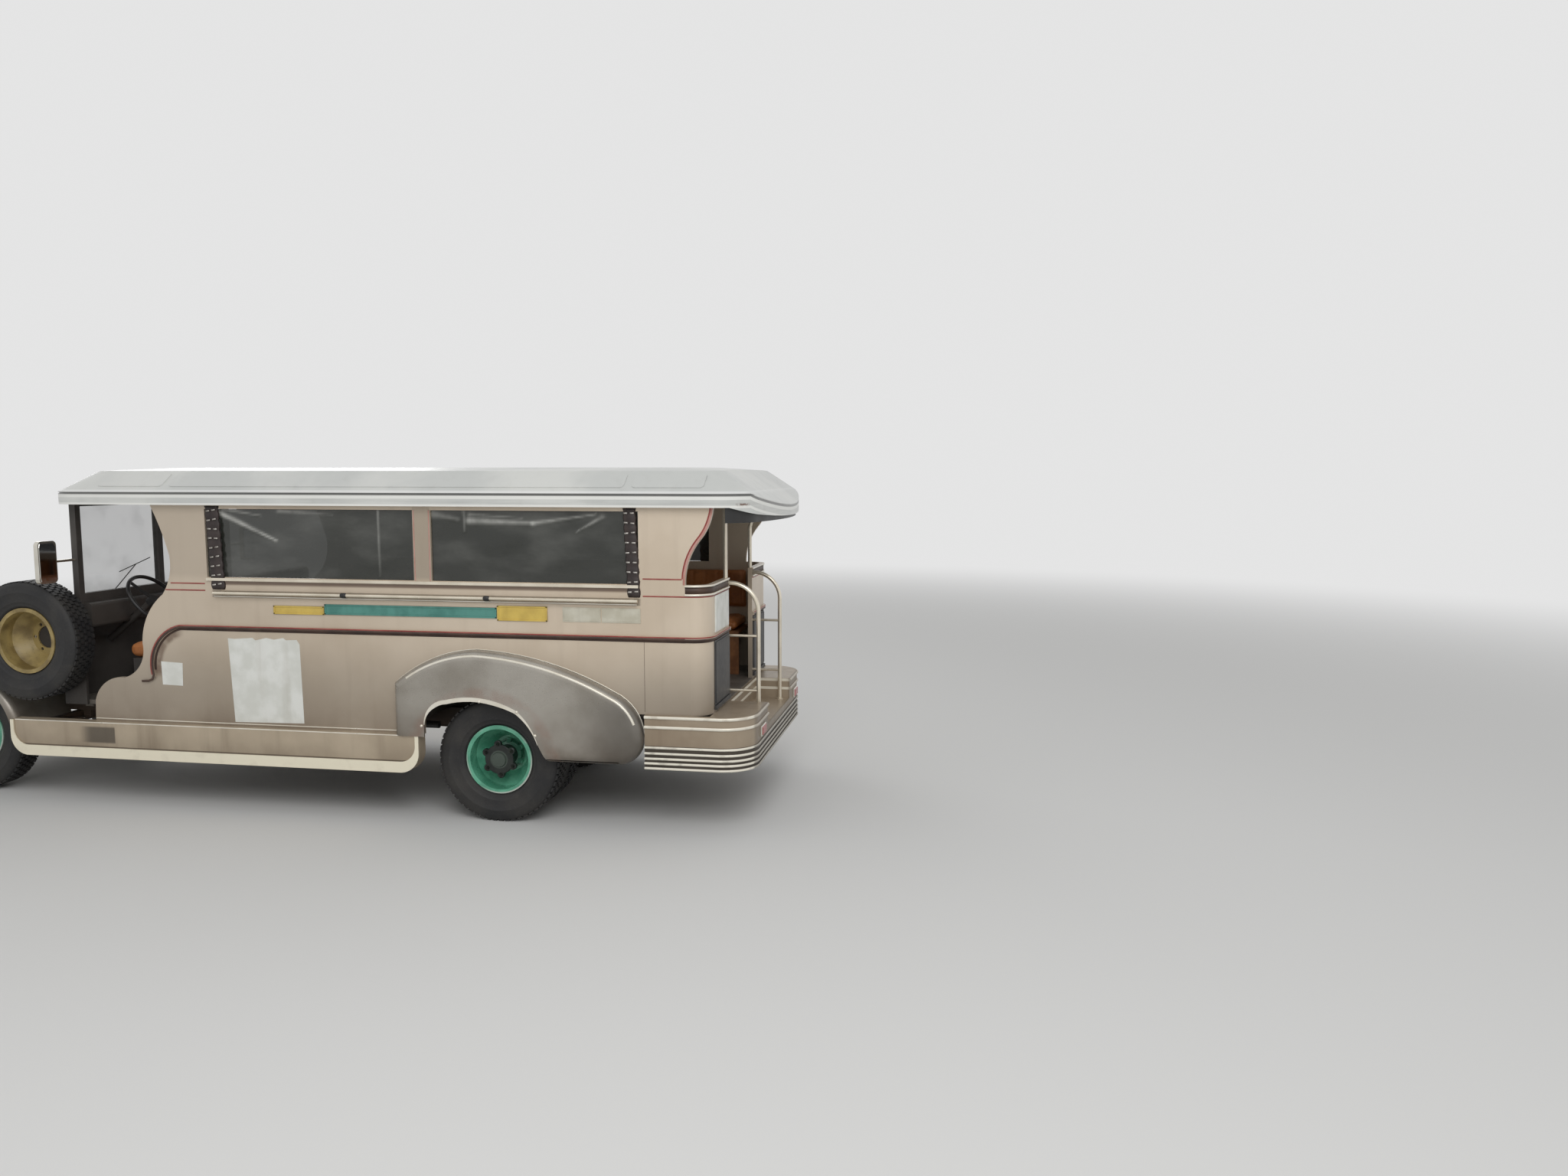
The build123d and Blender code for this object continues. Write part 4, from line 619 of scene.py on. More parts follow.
@dataclass(frozen=True)
class WheelPaint(Paint):
    """Wheel paint with a hub of its own colour and a flange that is worn bright in patches and lighter on its
    lower rear side, about an axle.
    """

    hub: Colour = (0.012, 0.016, 0.013)
    wheel_x: float = 0.0
    hub_r: float = 0.101
    greasy: float = 0.40

    def extra(self, sheen: Sheen, colour: bpy.types.NodeSocket) -> bpy.types.NodeSocket:
        """Lays the dark hub and the lighter flange over the paint.

        Args:
            sheen: The material under construction.
            colour: The paint.

        Returns:
            The colour with both.
        """
        across, up = sheen.forward - self.wheel_x, sheen.z - WHEEL_Z
        radius = sheen.radius(self.wheel_x, WHEEL_Z)
        lower = (across * -0.6 - up * 0.8).rise(0.04, 0.17)
        flange = radius.rise(0.210, 0.217) * (sheen.noise(7.0, 4.0).rise(0.42, 0.62) * 0.6).either(lower)
        smeared = sheen.noise(17.0, 4.0).rise(0.40, 0.62) * self.greasy
        worn = sheen.mix(flange * 0.85, colour, (0.56, 0.58, 0.53))
        dirty = sheen.mix(radius.rise(self.hub_r + 0.055, self.hub_r) * smeared, worn, self.hub)
        return sheen.mix(radius.rise(self.hub_r, self.hub_r - 0.003), dirty, self.hub)


@dataclass(frozen=True)
class Rubber(Finish):
    """Tyre rubber with dust on its sides."""

    name: str = "tyre_rubber"

    def dress(self, sheen: Sheen) -> None:
        """Sets the dusty black and its fine grain.

        Args:
            sheen: The material under construction.
        """
        dust = sheen.noise(5.0, 5.0).rise(0.34, 0.74) * 0.5 + sheen.noise(70.0, 2.0).rise(0.5, 0.8) * 0.25
        sheen.set(Base_Color=sheen.mix(dust, (0.014, 0.014, 0.015), (0.062, 0.057, 0.050)),
                  Roughness=dust * 0.2 + 0.62)
        sheen.dent(sheen.noise(160.0, 3.0), 0.0006, 0.6)


@dataclass(frozen=True)
class ClearVinyl(Finish):
    """Old clear curtain plastic, nearly opaque and dark as painted shade of the inside behind it, hazy, with
    painted highlights along its folds.
    """

    name: str = "clear_curtain"

    def dress(self, sheen: Sheen) -> None:
        """Sets the dark plastic (painted shade of the inside behind it), its haze and the painted highlights
        along its folds.

        Args:
            sheen: The material under construction.
        """
        # The fold attribute holds the painted highlight along the folds; the haze is the plastic's own.
        fold = sheen.attribute("fold")
        haze = sheen.noise(2.6, 5.0, (1.0, 1.0, 2.2)).rise(0.42, 0.82) * 0.10
        pale_share = (fold * (sheen.noise(9.0, 4.0).rise(0.30, 0.62) * 0.5 + 0.5) + haze).both(1.0)
        sheen.set(Base_Color=sheen.mix(pale_share, (0.026, 0.028, 0.023), (0.60, 0.60, 0.56)),
                  Alpha=pale_share * 0.02 + 0.975, Roughness=haze * 0.8 + 0.16, Specular_IOR_Level=0.6)
        sheen.dent(sheen.noise(6.0, 4.0), 0.004, 0.5)


@dataclass(frozen=True)
class Glass(Finish):
    """Window or lens glass, thin enough to see through."""

    tint: Colour
    alpha: float
    rough: float = 0.06

    def dress(self, sheen: Sheen) -> None:
        """Sets the tint and the dust on it.

        Args:
            sheen: The material under construction.
        """
        dust = sheen.noise(4.0, 4.0).rise(0.45, 0.85)
        sheen.set(Base_Color=sheen.mix(dust * 0.25, self.tint, (0.35, 0.33, 0.30)),
                  Alpha=dust * 0.12 + self.alpha, Roughness=dust * 0.2 + self.rough, Specular_IOR_Level=0.7)


@dataclass(frozen=True)
class Upholstery(Finish):
    """Orange-brown seat vinyl with its grain, creases and rubbed places."""

    name: str = "seat_vinyl"

    def dress(self, sheen: Sheen) -> None:
        """Sets the rubbed colour, the grain and the creases.

        Args:
            sheen: The material under construction.
        """
        rubbed = sheen.noise(3.0, 5.0).rise(0.38, 0.70)
        colour = sheen.mix(rubbed, srgb(148, 88, 44), srgb(186, 118, 66))
        colour = sheen.mix(sheen.noise(40.0, 3.0).rise(0.55, 0.8) * 0.3, colour, srgb(84, 48, 28))
        cells = sheen.node("ShaderNodeTexVoronoi", {"feature": "DISTANCE_TO_EDGE"},
                           {"Vector": sheen.place, "Scale": 260.0})
        grain = Sum(sheen, cells.outputs["Distance"]).rise(0.0, 0.22)
        sheen.set(Base_Color=colour, Roughness=rubbed * 0.14 + 0.36, Specular_IOR_Level=0.5)
        sheen.dent(grain * 0.4 + sheen.noise(22.0, 4.0) * 0.6, 0.0012, 0.7)


BODY_PAINT = SidePaint("champagne_body", srgb(215, 200, 180), srgb(204, 188, 167), srgb(150, 132, 113),
                       mottle=1.6, streak=0.12, dirt_low=0.42, dirt_high=0.90, rough=0.34, metal=0.22,
                       coat=0.14)
FENDER_PAINT = FenderPaint("fender_grey", srgb(172, 167, 158), srgb(148, 142, 132), srgb(98, 86, 72),
                           mottle=2.4, streak=0.10, speckle=0.0, dirt_low=0.46, dirt_high=0.86, rough=0.28,
                           metal=0.42, coat=0.22, dents=0.003)
ROOF_PAINT = Rusted("white_roof_enamel", srgb(211, 212, 208), srgb(196, 198, 195), srgb(150, 148, 142),
                    mottle=1.8, streak=0.10, speckle=0.0, rough=0.34, coat=0.10)
VALANCE_PAINT = Banded("valance_champagne", srgb(166, 151, 131), srgb(150, 134, 114), srgb(104, 86, 70),
                       mottle=3.0, dirt_low=0.36, dirt_high=0.62, rough=0.36, metal=0.25, dark_below=0.5535,
                       bands=((0.733, 0.0085), (0.672, 0.0085), (0.545, 0.0065), (0.509, 0.0065),
                              (0.476, 0.0065), (0.446, 0.0065), (0.415, 0.0065)))
BOARD_PAINT = Stripped("running_board_champagne", srgb(190, 175, 153), srgb(172, 157, 136), srgb(104, 90, 74),
                       mottle=2.4, dirt_low=0.28, dirt_high=0.54, rough=0.40, metal=0.2)
DARK_BAND = Paint("black_skirt", (0.018, 0.018, 0.018), (0.030, 0.029, 0.028), (0.08, 0.07, 0.06), rough=0.45)
CHASSIS_PAINT = Paint("black_chassis_paint", (0.022, 0.022, 0.022), (0.042, 0.036, 0.030), srgb(110, 84, 62),
                      mottle=6.0, streak=0.2, dirt_low=0.2, dirt_high=0.75, speckle=0.3, rough=0.62)
ENGINE_METAL = Paint("oily_engine", (0.06, 0.062, 0.06), (0.10, 0.09, 0.08), (0.02, 0.017, 0.014), mottle=8.0,
                     streak=0.4, speckle=0.3, rough=0.5, metal=0.5)
FLOOR_PAINT = Paint("scuffed_floor", srgb(118, 112, 104), srgb(92, 86, 80), srgb(58, 50, 44), mottle=4.0,
                    speckle=0.25, rough=0.55, metal=0.3)
INNER_PAINT = Paint("cab_grey", srgb(74, 70, 66), srgb(56, 52, 49), srgb(40, 35, 31), mottle=3.0, rough=0.55)
WARM_CHROME = Paint("warm_trim", (0.84, 0.77, 0.64), (0.70, 0.63, 0.51), (0.26, 0.20, 0.14), mottle=5.0,
                    streak=0.10, speckle=0.08, rough=0.24, vary=0.10, metal=0.65, coat=0.2, dents=0.0004)
CHROME = Paint("worn_chrome", (0.74, 0.71, 0.64), (0.62, 0.59, 0.52), (0.28, 0.24, 0.19), mottle=5.0,
               streak=0.10, speckle=0.02, rough=0.20, vary=0.12, metal=0.92, dents=0.0006)
# Cream of the real beads, welts, trims and bolts, and of the painted highlight tubes on the fenders and
# running boards.
CREAM = Paint("cream_moulding", (0.86, 0.82, 0.72), (0.76, 0.71, 0.60), (0.32, 0.26, 0.20), mottle=7.0,
              streak=0.12, speckle=0.03, rough=0.30, metal=0.35, coat=0.3, dents=0.0006)
GREEN_RIM = WheelPaint("green_wheel_enamel", srgb(104, 178, 148), srgb(76, 148, 120), srgb(60, 74, 62),
                       mottle=9.0, streak=0.10, speckle=0.04, rough=0.28, coat=0.25, hub=srgb(58, 112, 90),
                       greasy=0.25)
FRONT_RIM = WheelPaint("green_front_rim", srgb(104, 178, 148), srgb(76, 148, 120), srgb(60, 74, 62),
                       mottle=9.0, streak=0.10, speckle=0.04, rough=0.28, coat=0.25, wheel_x=FRONT_AXLE,
                       hub_r=0.072)
HUB_PAINT = WheelPaint("greasy_hub", srgb(30, 37, 32), srgb(20, 25, 22), srgb(46, 44, 38), mottle=18.0,
                       streak=0.15, speckle=0.05, rough=0.45, hub=srgb(66, 76, 68), hub_r=0.060, greasy=0.0)
NUT_PAINT = Paint("dark_nuts", srgb(50, 54, 48), srgb(34, 37, 34), srgb(72, 66, 56), mottle=20.0, rough=0.4,
                  metal=0.4)
YELLOW_RIM = Paint("yellow_wheel_enamel", srgb(166, 146, 94), srgb(122, 104, 64), (0.05, 0.04, 0.03),
                   mottle=8.0, streak=0.3, speckle=0.35, rough=0.42)
RED_LINE = Paint("red_line", srgb(142, 52, 48), srgb(164, 84, 76), srgb(120, 96, 80), mottle=9.0, rough=0.42)
PINK_BAND = Paint("pink_band", srgb(198, 150, 140), srgb(184, 130, 118), srgb(140, 110, 96), mottle=9.0,
                  rough=0.42)
# Painted shadow under the belt and round the rear corners, and the colour of the dark panel seams.
SHADOW_AND_SEAM_BAND = Paint("brown_band", srgb(74, 54, 44), srgb(58, 42, 35), srgb(110, 90, 74), mottle=7.0,
                    rough=0.5)
YELLOW_PLATE = Paint("yellow_plate", srgb(212, 184, 92), srgb(198, 170, 84), srgb(122, 98, 50), mottle=12.0,
                     rough=0.38)
TEAL_PLATE = Paint("teal_plate", srgb(84, 144, 133), srgb(68, 126, 116), srgb(48, 62, 58), mottle=10.0,
                   rough=0.36)
WHITE_PLATE = Paint("white_plate", srgb(202, 198, 182), srgb(186, 181, 163), srgb(120, 112, 96), mottle=10.0,
                    rough=0.42)
PAPER = Paint("paper_sheet", srgb(228, 229, 224), srgb(214, 215, 208), srgb(168, 160, 144), mottle=9.0,
              streak=0.22, rough=0.55, dents=0.002)
SLATE = Paint("slate_panel", (0.036, 0.036, 0.037), (0.056, 0.054, 0.052), (0.12, 0.10, 0.085), mottle=5.0,
              rough=0.5)
STRAP = Paint("brown_strap", srgb(54, 44, 42), srgb(42, 33, 32), srgb(92, 80, 72), mottle=14.0, streak=0.3,
              rough=0.55)
TIE = Paint("strap_tie", srgb(188, 184, 178), srgb(150, 145, 138), srgb(90, 80, 72), mottle=30.0, rough=0.35,
            metal=0.4)
WOOD = Paint("varnished_board", srgb(142, 96, 60), srgb(112, 72, 44), srgb(62, 42, 28), mottle=12.0,
             streak=0.5, rough=0.45)
BLACK_PLASTIC = Paint("black_plastic", (0.016, 0.016, 0.017), (0.026, 0.025, 0.025), (0.08, 0.07, 0.06),
                      mottle=20.0, rough=0.42)
RED_LENS = Glass("red_lens", (0.36, 0.012, 0.010), 0.95, 0.12)
CLEAR_LENS = Glass("clear_lens", (0.55, 0.57, 0.58), 0.45)
SCREEN = Glass("screen_glass", (0.10, 0.12, 0.12), 0.24)
MIRROR = Paint("mirror_glass", (0.78, 0.80, 0.82), (0.74, 0.76, 0.78), (0.4, 0.38, 0.36), mottle=3.0,
               rough=0.05, vary=0.02, metal=1.0, dents=0.0)

CAD_FINISHES: tuple[tuple[Finish, str], ...] = (
    (BODY_PAINT, "side_left side_right rear_corners nose_sides bonnet"),
    (FENDER_PAINT, "rear_fenders front_fenders"),
    (ROOF_PAINT, "roof"),
    (VALANCE_PAINT, "rear_step"),
    (BOARD_PAINT, "running_boards"),
    (DARK_BAND, "rear_skirt"),
    (CHASSIS_PAINT, "frame axles leaf_springs fuel_tank knuckle_left knuckle_right track_rod"),
    (ENGINE_METAL, "engine exhaust"),
    (FLOOR_PAINT, "floor"),
    (INNER_PAINT, "cowl cab_boards screen_frame"),
    (CHROME, "grille bumper mirrors lamps"),
    (WARM_CHROME, "handrails window_rails"),
    (GREEN_RIM, "rear_rim_left rear_rim_right"),
    (FRONT_RIM, "front_rim_left front_rim_right"),
    (YELLOW_RIM, "spare_rim"),
    (WOOD, "bench_bases"),
    (BLACK_PLASTIC, "steering_wheel"),
    (SCREEN, "screen_glass"),
)


def finish_piece(piece: bpy.types.Object, finish: Finish, body: Body) -> bpy.types.Object:
    """Gives a piece its finish and its body, and reports it.

    Args:
        piece: The finished mesh object.
        finish: What covers it.
        body: What it rides on.

    Returns:
        The piece.
    """
    piece.data.materials.clear()
    piece.data.materials.append(finish.build())
    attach(piece, body.value)
    LOG.info("%s: %d faces", piece.name, len(piece.data.polygons))
    return piece


def linked(name: str, data: Any) -> bpy.types.Object:
    """An object that is linked into the scene.

    Args:
        name: Its name.
        data: Its mesh, camera or lamp.

    Returns:
        The object.
    """
    made = bpy.data.objects.new(name, data)
    bpy.context.scene.collection.objects.link(made)
    return made


def aim(made: bpy.types.Object, place: Sequence[float], ahead: Vector) -> None:
    """Stands a camera or a lamp at a place.

    Args:
        made: The object.
        place: Where it stands.
        ahead: Which way it looks.
    """
    made.location = place
    made.rotation_mode = "QUATERNION"
    made.rotation_quaternion = ahead.to_track_quat("-Z", "Y")


def settled(made: bpy.types.Object) -> bpy.types.Mesh:
    """The object's mesh as its modifiers leave it."""
    return bpy.data.meshes.new_from_object(made.evaluated_get(bpy.context.evaluated_depsgraph_get()))


def keep_shape(made: bpy.types.Object) -> None:
    """Makes the shape that the modifiers give an object's own.

    Args:
        made: The object.
    """
    data = settled(made)
    made.modifiers.clear()
    made.data = data


class Stock:
    """Points and faces of one mesh, gathered form by form."""

    def __init__(self) -> None:
        """Starts empty."""
        self.points: list[Point] = []
        self.faces: list[tuple[int, ...]] = []

    def add(self, points: Iterable[Sequence[float]], faces: Iterable[Sequence[int]]) -> None:
        """Adds a form.

        Args:
            points: Its points.
            faces: Its faces, numbered from its own first point.
        """
        first = len(self.points)
        self.points.extend((point[0], point[1], point[2]) for point in points)
        self.faces.extend(tuple(first + index for index in face) for face in faces)

    def loft(self, sections: Sequence[Path], ring: bool = False) -> None:
        """Adds a skin through closed sections of the same number of points.

        Args:
            sections: The sections in order.
            ring: Whether the last section joins the first, instead of both being capped.
        """
        size = len(sections[0])
        faces: list[tuple[int, ...]] = []
        for span in range(len(sections) if ring else len(sections) - 1):
            near, far = span * size, (span + 1) % len(sections) * size
            steps = [(i, (i + 1) % size) for i in range(size)]
            faces.extend((near + i, near + after, far + after, far + i) for i, after in steps)
        if not ring:
            last = (len(sections) - 1) * size
            faces.append(tuple(range(size))[::-1])
            faces.append(tuple(last + i for i in range(size)))
        self.add([point for section in sections for point in section], faces)

    def block(self, low: Point, high: Point) -> None:
        """Adds a block between two corners."""
        corners = [(low[0], low[1]), (high[0], low[1]), (high[0], high[1]), (low[0], high[1])]
        self.loft([[(x, y, z) for x, y in corners] for z in (low[2], high[2])])

    def rings(self, rings: Sequence[Flat], steps: int, axis: int, centre: Point = (0.0, 0.0, 0.0)) -> None:
        """Adds a round or many-sided form.

        Args:
            rings: How far along the axis each ring is, and its radius.
            steps: Points of a ring.
            axis: Number of the axis that the form runs along.
            centre: Where the distances along it start.
        """
        turn = [2 * math.pi * step / steps for step in range(steps)]
        sections = []
        for out, radius in rings:
            across = [(radius * math.cos(a), radius * math.sin(a)) for a in turn]
            spots = [(*pair[:axis], out, *pair[axis:]) for pair in across]
            sections.append([(centre[0] + x, centre[1] + y, centre[2] + z) for x, y, z in spots])
        self.loft(sections)

    def lathe(self, profile: Sequence[Flat], centre: Point, steps: int) -> None:
        """Adds a closed profile turned about an axis along Y.

        Args:
            profile: Radius and Y of each point, clear of the axis.
            centre: The axis's place.
            steps: Steps of the turn.
        """
        x, middle, z = centre
        turn = [2 * math.pi * step / steps for step in range(steps)]
        self.loft([[(x + r * math.cos(a), middle + y, z + r * math.sin(a)) for r, y in profile]
                   for a in turn], ring=True)

    def mirrored(self) -> "Stock":
        """The same forms with their copy on the other side."""
        self.add([(x, -y, z) for x, y, z in self.points], [face[::-1] for face in self.faces])
        return self

    def mesh(self, name: str, smooth: bool = False) -> bpy.types.Object:
        """The forms as an object whose faces point outwards.

        Args:
            name: The object's name.
            smooth: Whether its faces shade as one surface.

        Returns:
            The object.
        """
        data = bpy.data.meshes.new(name)
        data.from_pydata(self.points, [], self.faces)
        shape = bmesh.new()
        shape.from_mesh(data)
        bmesh.ops.remove_doubles(shape, verts=shape.verts, dist=1e-6)
        bmesh.ops.recalc_face_normals(shape, faces=shape.faces)
        shape.to_mesh(data)
        shape.free()
        if smooth:
            data.shade_smooth()
        else:
            data.shade_flat()
        return linked(name, data)

    def piece(self, name: str, finish: Finish, slot: str, bevel: float = 0.0, smooth: bool = False,
              body: Body = Body.CHASSIS) -> None:
        """Makes the forms a finished piece.

        Args:
            name: The piece's name.
            finish: What covers it.
            slot: The record's material slot; not used.
            bevel: Radius of its edges.
            smooth: Whether its faces shade as one surface.
            body: What it rides on.
        """
        made = self.mesh(name, smooth)
        if bevel:
            edge = made.modifiers.new("edges", "BEVEL")
            edge.width, edge.segments, edge.limit_method = bevel, 2, "ANGLE"
        finish_piece(made, finish, body)


class Grower(Wiring):
    """A Geometry Nodes tree with named inputs, whose result becomes a plain mesh."""

    def __init__(self, name: str, inputs: dict[str, tuple[str, Any]]) -> None:
        """Makes the tree and its inputs.

        Args:
            name: The tree's name.
            inputs: Socket type and default of each input, by name.
        """
        super().__init__(bpy.data.node_groups.new(name, "GeometryNodeTree"))
        face = self.tree.interface
        face.new_socket("Geometry", in_out="OUTPUT", socket_type="NodeSocketGeometry")
        face.new_socket("Geometry", in_out="INPUT", socket_type="NodeSocketGeometry")
        self.keys: dict[str, str] = {}
        for label, (kind, default) in {**inputs, "Finish": ("NodeSocketMaterial", None)}.items():
            socket = face.new_socket(label, in_out="INPUT", socket_type=kind)
            if default is not None:
                socket.default_value = default
            self.keys[label] = socket.identifier
        self.start = self.tree.nodes.new("NodeGroupInput")

    def given(self, label: str) -> bpy.types.NodeSocket:
        """The socket of a named input."""
        return self.start.outputs[label]

    def close(self, shape: bpy.types.NodeSocket) -> None:
        """Ends the tree: instances made real, and the material set.

        Args:
            shape: What the tree made.
        """
        real = self.node("GeometryNodeRealizeInstances", None, {"Geometry": shape})
        dressed = self.node("GeometryNodeSetMaterial", None,
                            {"Geometry": real.outputs[0], "Material": self.given("Finish")})
        end = self.tree.nodes.new("NodeGroupOutput")
        self.tree.links.new(dressed.outputs[0], end.inputs[0])

    def grow(self, name: str, source: bpy.types.Object, values: dict[str, Any],
             finish: Finish) -> bpy.types.Object:
        """Runs the tree on a source object, which the result takes the place of.

        Args:
            name: Name of the result.
            source: Object whose mesh the tree starts from.
            values: Value of each named input.
            finish: What covers the result.

        Returns:
            The result as a plain mesh object.
        """
        modifier = source.modifiers.new(name, "NODES")
        modifier.node_group = self.tree
        for label, value in {**values, "Finish": finish.build()}.items():
            modifier[self.keys[label]] = value
        grown = settled(source)
        grown.name = name
        bpy.data.objects.remove(source)
        return linked(name, grown)


def wires(paths: Sequence[Path]) -> bpy.types.Object:
    """An object whose loose edges follow the paths.

    Args:
        paths: Points of each path.

    Returns:
        The object.
    """
    points: list[Sequence[float]] = []
    edges: list[tuple[int, int]] = []
    for path in paths:
        first = len(points)
        points.extend(path)
        edges.extend((first + index, first + index + 1) for index in range(len(path) - 1))
    data = bpy.data.meshes.new("paths")
    data.from_pydata(points, edges, [])
    return linked("paths", data)


class Moulding(Grower):
    """Lines, beads and trims that follow a path on the body."""

    def __init__(self) -> None:
        """Builds the tree that sweeps a flat or a round profile along paths."""
        super().__init__("moulding", {
            "Width": ("NodeSocketFloat", 0.01), "Height": ("NodeSocketFloat", 0.002),
            "Round": ("NodeSocketBool", False), "Facing": ("NodeSocketVector", OUT),
        })
        curve = self.node("GeometryNodeMeshToCurve", None, {0: self.given("Geometry")})
        aimed = self.node("GeometryNodeSetCurveNormal", {"mode": "FREE"},
                          {"Curve": curve.outputs[0], "Normal": self.given("Facing")})
        flat = self.node("GeometryNodeCurvePrimitiveQuadrilateral", None,
                         {"Width": self.given("Width"), "Height": self.given("Height")})
        half = self.node("ShaderNodeMath", {"operation": "MULTIPLY"}, {0: self.given("Width"), 1: 0.5})
        tube = self.node("GeometryNodeCurvePrimitiveCircle", None,
                         {"Resolution": 8, "Radius": half.outputs[0]})
        chosen = self.node("GeometryNodeSwitch", {"input_type": "GEOMETRY"},
                           {"Switch": self.given("Round"), "False": flat.outputs[0], "True": tube.outputs[0]})
        swept = self.node("GeometryNodeCurveToMesh", None,
                          {"Curve": aimed.outputs[0], "Profile Curve": chosen.outputs[0], "Fill Caps": True})
        self.close(swept.outputs[0])

    def lay(self, name: str, paths: Sequence[Path], width: float, height: float, finish: Finish,
            slot: str, facing: Point = OUT, tube: bool = False) -> None:
        """Lays one moulding along its paths.

        Args:
            name: The piece's name.
            paths: Middle line of each run.
            width: Its measure along the facing direction.
            height: Its measure across that.
            finish: What covers it.
            slot: The record's material slot; not used.
            facing: Direction that the profile's width points in.
            tube: Whether the profile is round.
        """
        values = {"Width": width, "Height": height, "Round": tube, "Facing": facing}
        finish_piece(self.grow(name, wires(paths), values, finish), finish, Body.CHASSIS)


class Row(Grower):
    """Like things set out along a path, such as bolts and ties."""

    def __init__(self) -> None:
        """Builds the tree that repeats a stamp along paths."""
        super().__init__("row", {
            "Stamp": ("NodeSocketObject", None), "Spacing": ("NodeSocketFloat", 0.1),
            "Facing": ("NodeSocketVector", OUT), "Tilt": ("NodeSocketFloat", 0.0),
            "Seed": ("NodeSocketInt", 3),
        })
        curve = self.node("GeometryNodeMeshToCurve", None, {0: self.given("Geometry")})
        spots = self.node("GeometryNodeCurveToPoints", {"mode": "LENGTH"},
                          {"Curve": curve.outputs[0], "Length": self.given("Spacing")})
        less = self.node("ShaderNodeMath", {"operation": "MULTIPLY"}, {0: self.given("Tilt"), 1: -1.0})
        lean = self.node("FunctionNodeRandomValue", {"data_type": "FLOAT"},
                         {2: less.outputs[0], 3: self.given("Tilt"), "Seed": self.given("Seed")})
        tipped = self.node("ShaderNodeCombineXYZ", None, {"Z": lean.outputs[1]})
        aimed = self.node("FunctionNodeAxesToRotation", {"primary_axis": "Z", "secondary_axis": "Y"},
                          {0: self.given("Facing"), 1: spots.outputs["Tangent"]})
        euler = self.node("FunctionNodeEulerToRotation", None, {0: tipped.outputs[0]})
        turned = self.node("FunctionNodeRotateRotation", {"rotation_space": "LOCAL"},
                           {0: aimed.outputs[0], 1: euler.outputs[0]})
        stamp = self.node("GeometryNodeObjectInfo", None, {"Object": self.given("Stamp")})
        set_out = self.node("GeometryNodeInstanceOnPoints", None,
                            {"Points": spots.outputs["Points"], "Instance": stamp.outputs["Geometry"],
                             "Rotation": turned.outputs[0]})
        self.close(set_out.outputs[0])

    def lay(self, name: str, paths: Sequence[Path], stamp: Stock, spacing: float, finish: Finish,
            slot: str, facing: Point = OUT, tilt: float = 0.0) -> None:
        """Sets the stamp out along its paths.

        Args:
            name: The piece's name.
            paths: Line of each row.
            stamp: The thing that is repeated, its Z pointing outwards and its Y along the row.
            spacing: Distance between two.
            finish: What covers it.
            slot: The record's material slot; not used.
            facing: Outward direction of the row.
            tilt: Most that one turns about that direction.
        """
        pattern = stamp.mesh("stamp", True)
        values = {"Stamp": pattern, "Spacing": spacing, "Facing": facing, "Tilt": tilt}
        made = self.grow(name, wires(paths), values, finish)
        bpy.data.objects.remove(pattern)
        finish_piece(made, finish, Body.CHASSIS)


class Ring(Grower):
    """Like things set out round an axle, such as wheel nuts and tread blocks."""

    def __init__(self) -> None:
        """Builds the tree that repeats a stamp about an axis along Y."""
        super().__init__("ring", {
            "Stamp": ("NodeSocketObject", None), "Count": ("NodeSocketInt", 6),
            "Phase": ("NodeSocketFloat", 0.0), "Centre": ("NodeSocketVector", (0.0, 0.0, 0.0)),
        })
        spots = self.node("GeometryNodePoints", None, {"Count": self.given("Count")})
        step = self.node("ShaderNodeMath", {"operation": "DIVIDE"}, {0: 2 * math.pi, 1: self.given("Count")})
        index = self.node("GeometryNodeInputIndex")
        turn = self.node("ShaderNodeMath", {"operation": "MULTIPLY_ADD"},
                         {0: index.outputs[0], 1: step.outputs[0], 2: self.given("Phase")})
        about = self.node("ShaderNodeCombineXYZ", None, {"Y": turn.outputs[0]})
        euler = self.node("FunctionNodeEulerToRotation", None, {0: about.outputs[0]})
        stamp = self.node("GeometryNodeObjectInfo", None, {"Object": self.given("Stamp")})
        set_out = self.node("GeometryNodeInstanceOnPoints", None,
                            {"Points": spots.outputs[0], "Instance": stamp.outputs["Geometry"],
                             "Rotation": euler.outputs[0]})
        placed = self.node("GeometryNodeTransform", None,
                           {"Geometry": set_out.outputs[0], "Translation": self.given("Centre")})
        self.close(placed.outputs[0])

    def lay(self, name: str, stamp: Stock, count: int, centre: Point, finish: Finish,
            phase: float = 0.0) -> bpy.types.Object:
        """Sets the stamp out round an axle.

        Args:
            name: Name of the result.
            stamp: The thing that is repeated, where it stands for no turn about the origin.
            count: How many there are.
            centre: The axle's place.
            finish: What covers it.
            phase: Turn of the first.

        Returns:
            The result as a plain mesh object, not yet riding on a body.
        """
        pattern = stamp.mesh("stamp")
        made = self.grow(name, wires([[(0, 0, 0), (0, 0, 0.01)]]),
                              {"Stamp": pattern, "Count": count, "Phase": phase, "Centre": centre}, finish)
        bpy.data.objects.remove(pattern)
        return made


def joined(name: str, parts: Sequence[bpy.types.Object]) -> bpy.types.Object:
    """Several objects as one.

    Args:
        name: Name of the result.
        parts: The objects, which are used up.

    Returns:
        The one object.
    """
    shape = bmesh.new()
    for part in parts:
        shape.from_mesh(part.data)
    data = bpy.data.meshes.new(name)
    shape.to_mesh(data)
    shape.free()
    for part in parts:
        bpy.data.objects.remove(part)
    return linked(name, data)


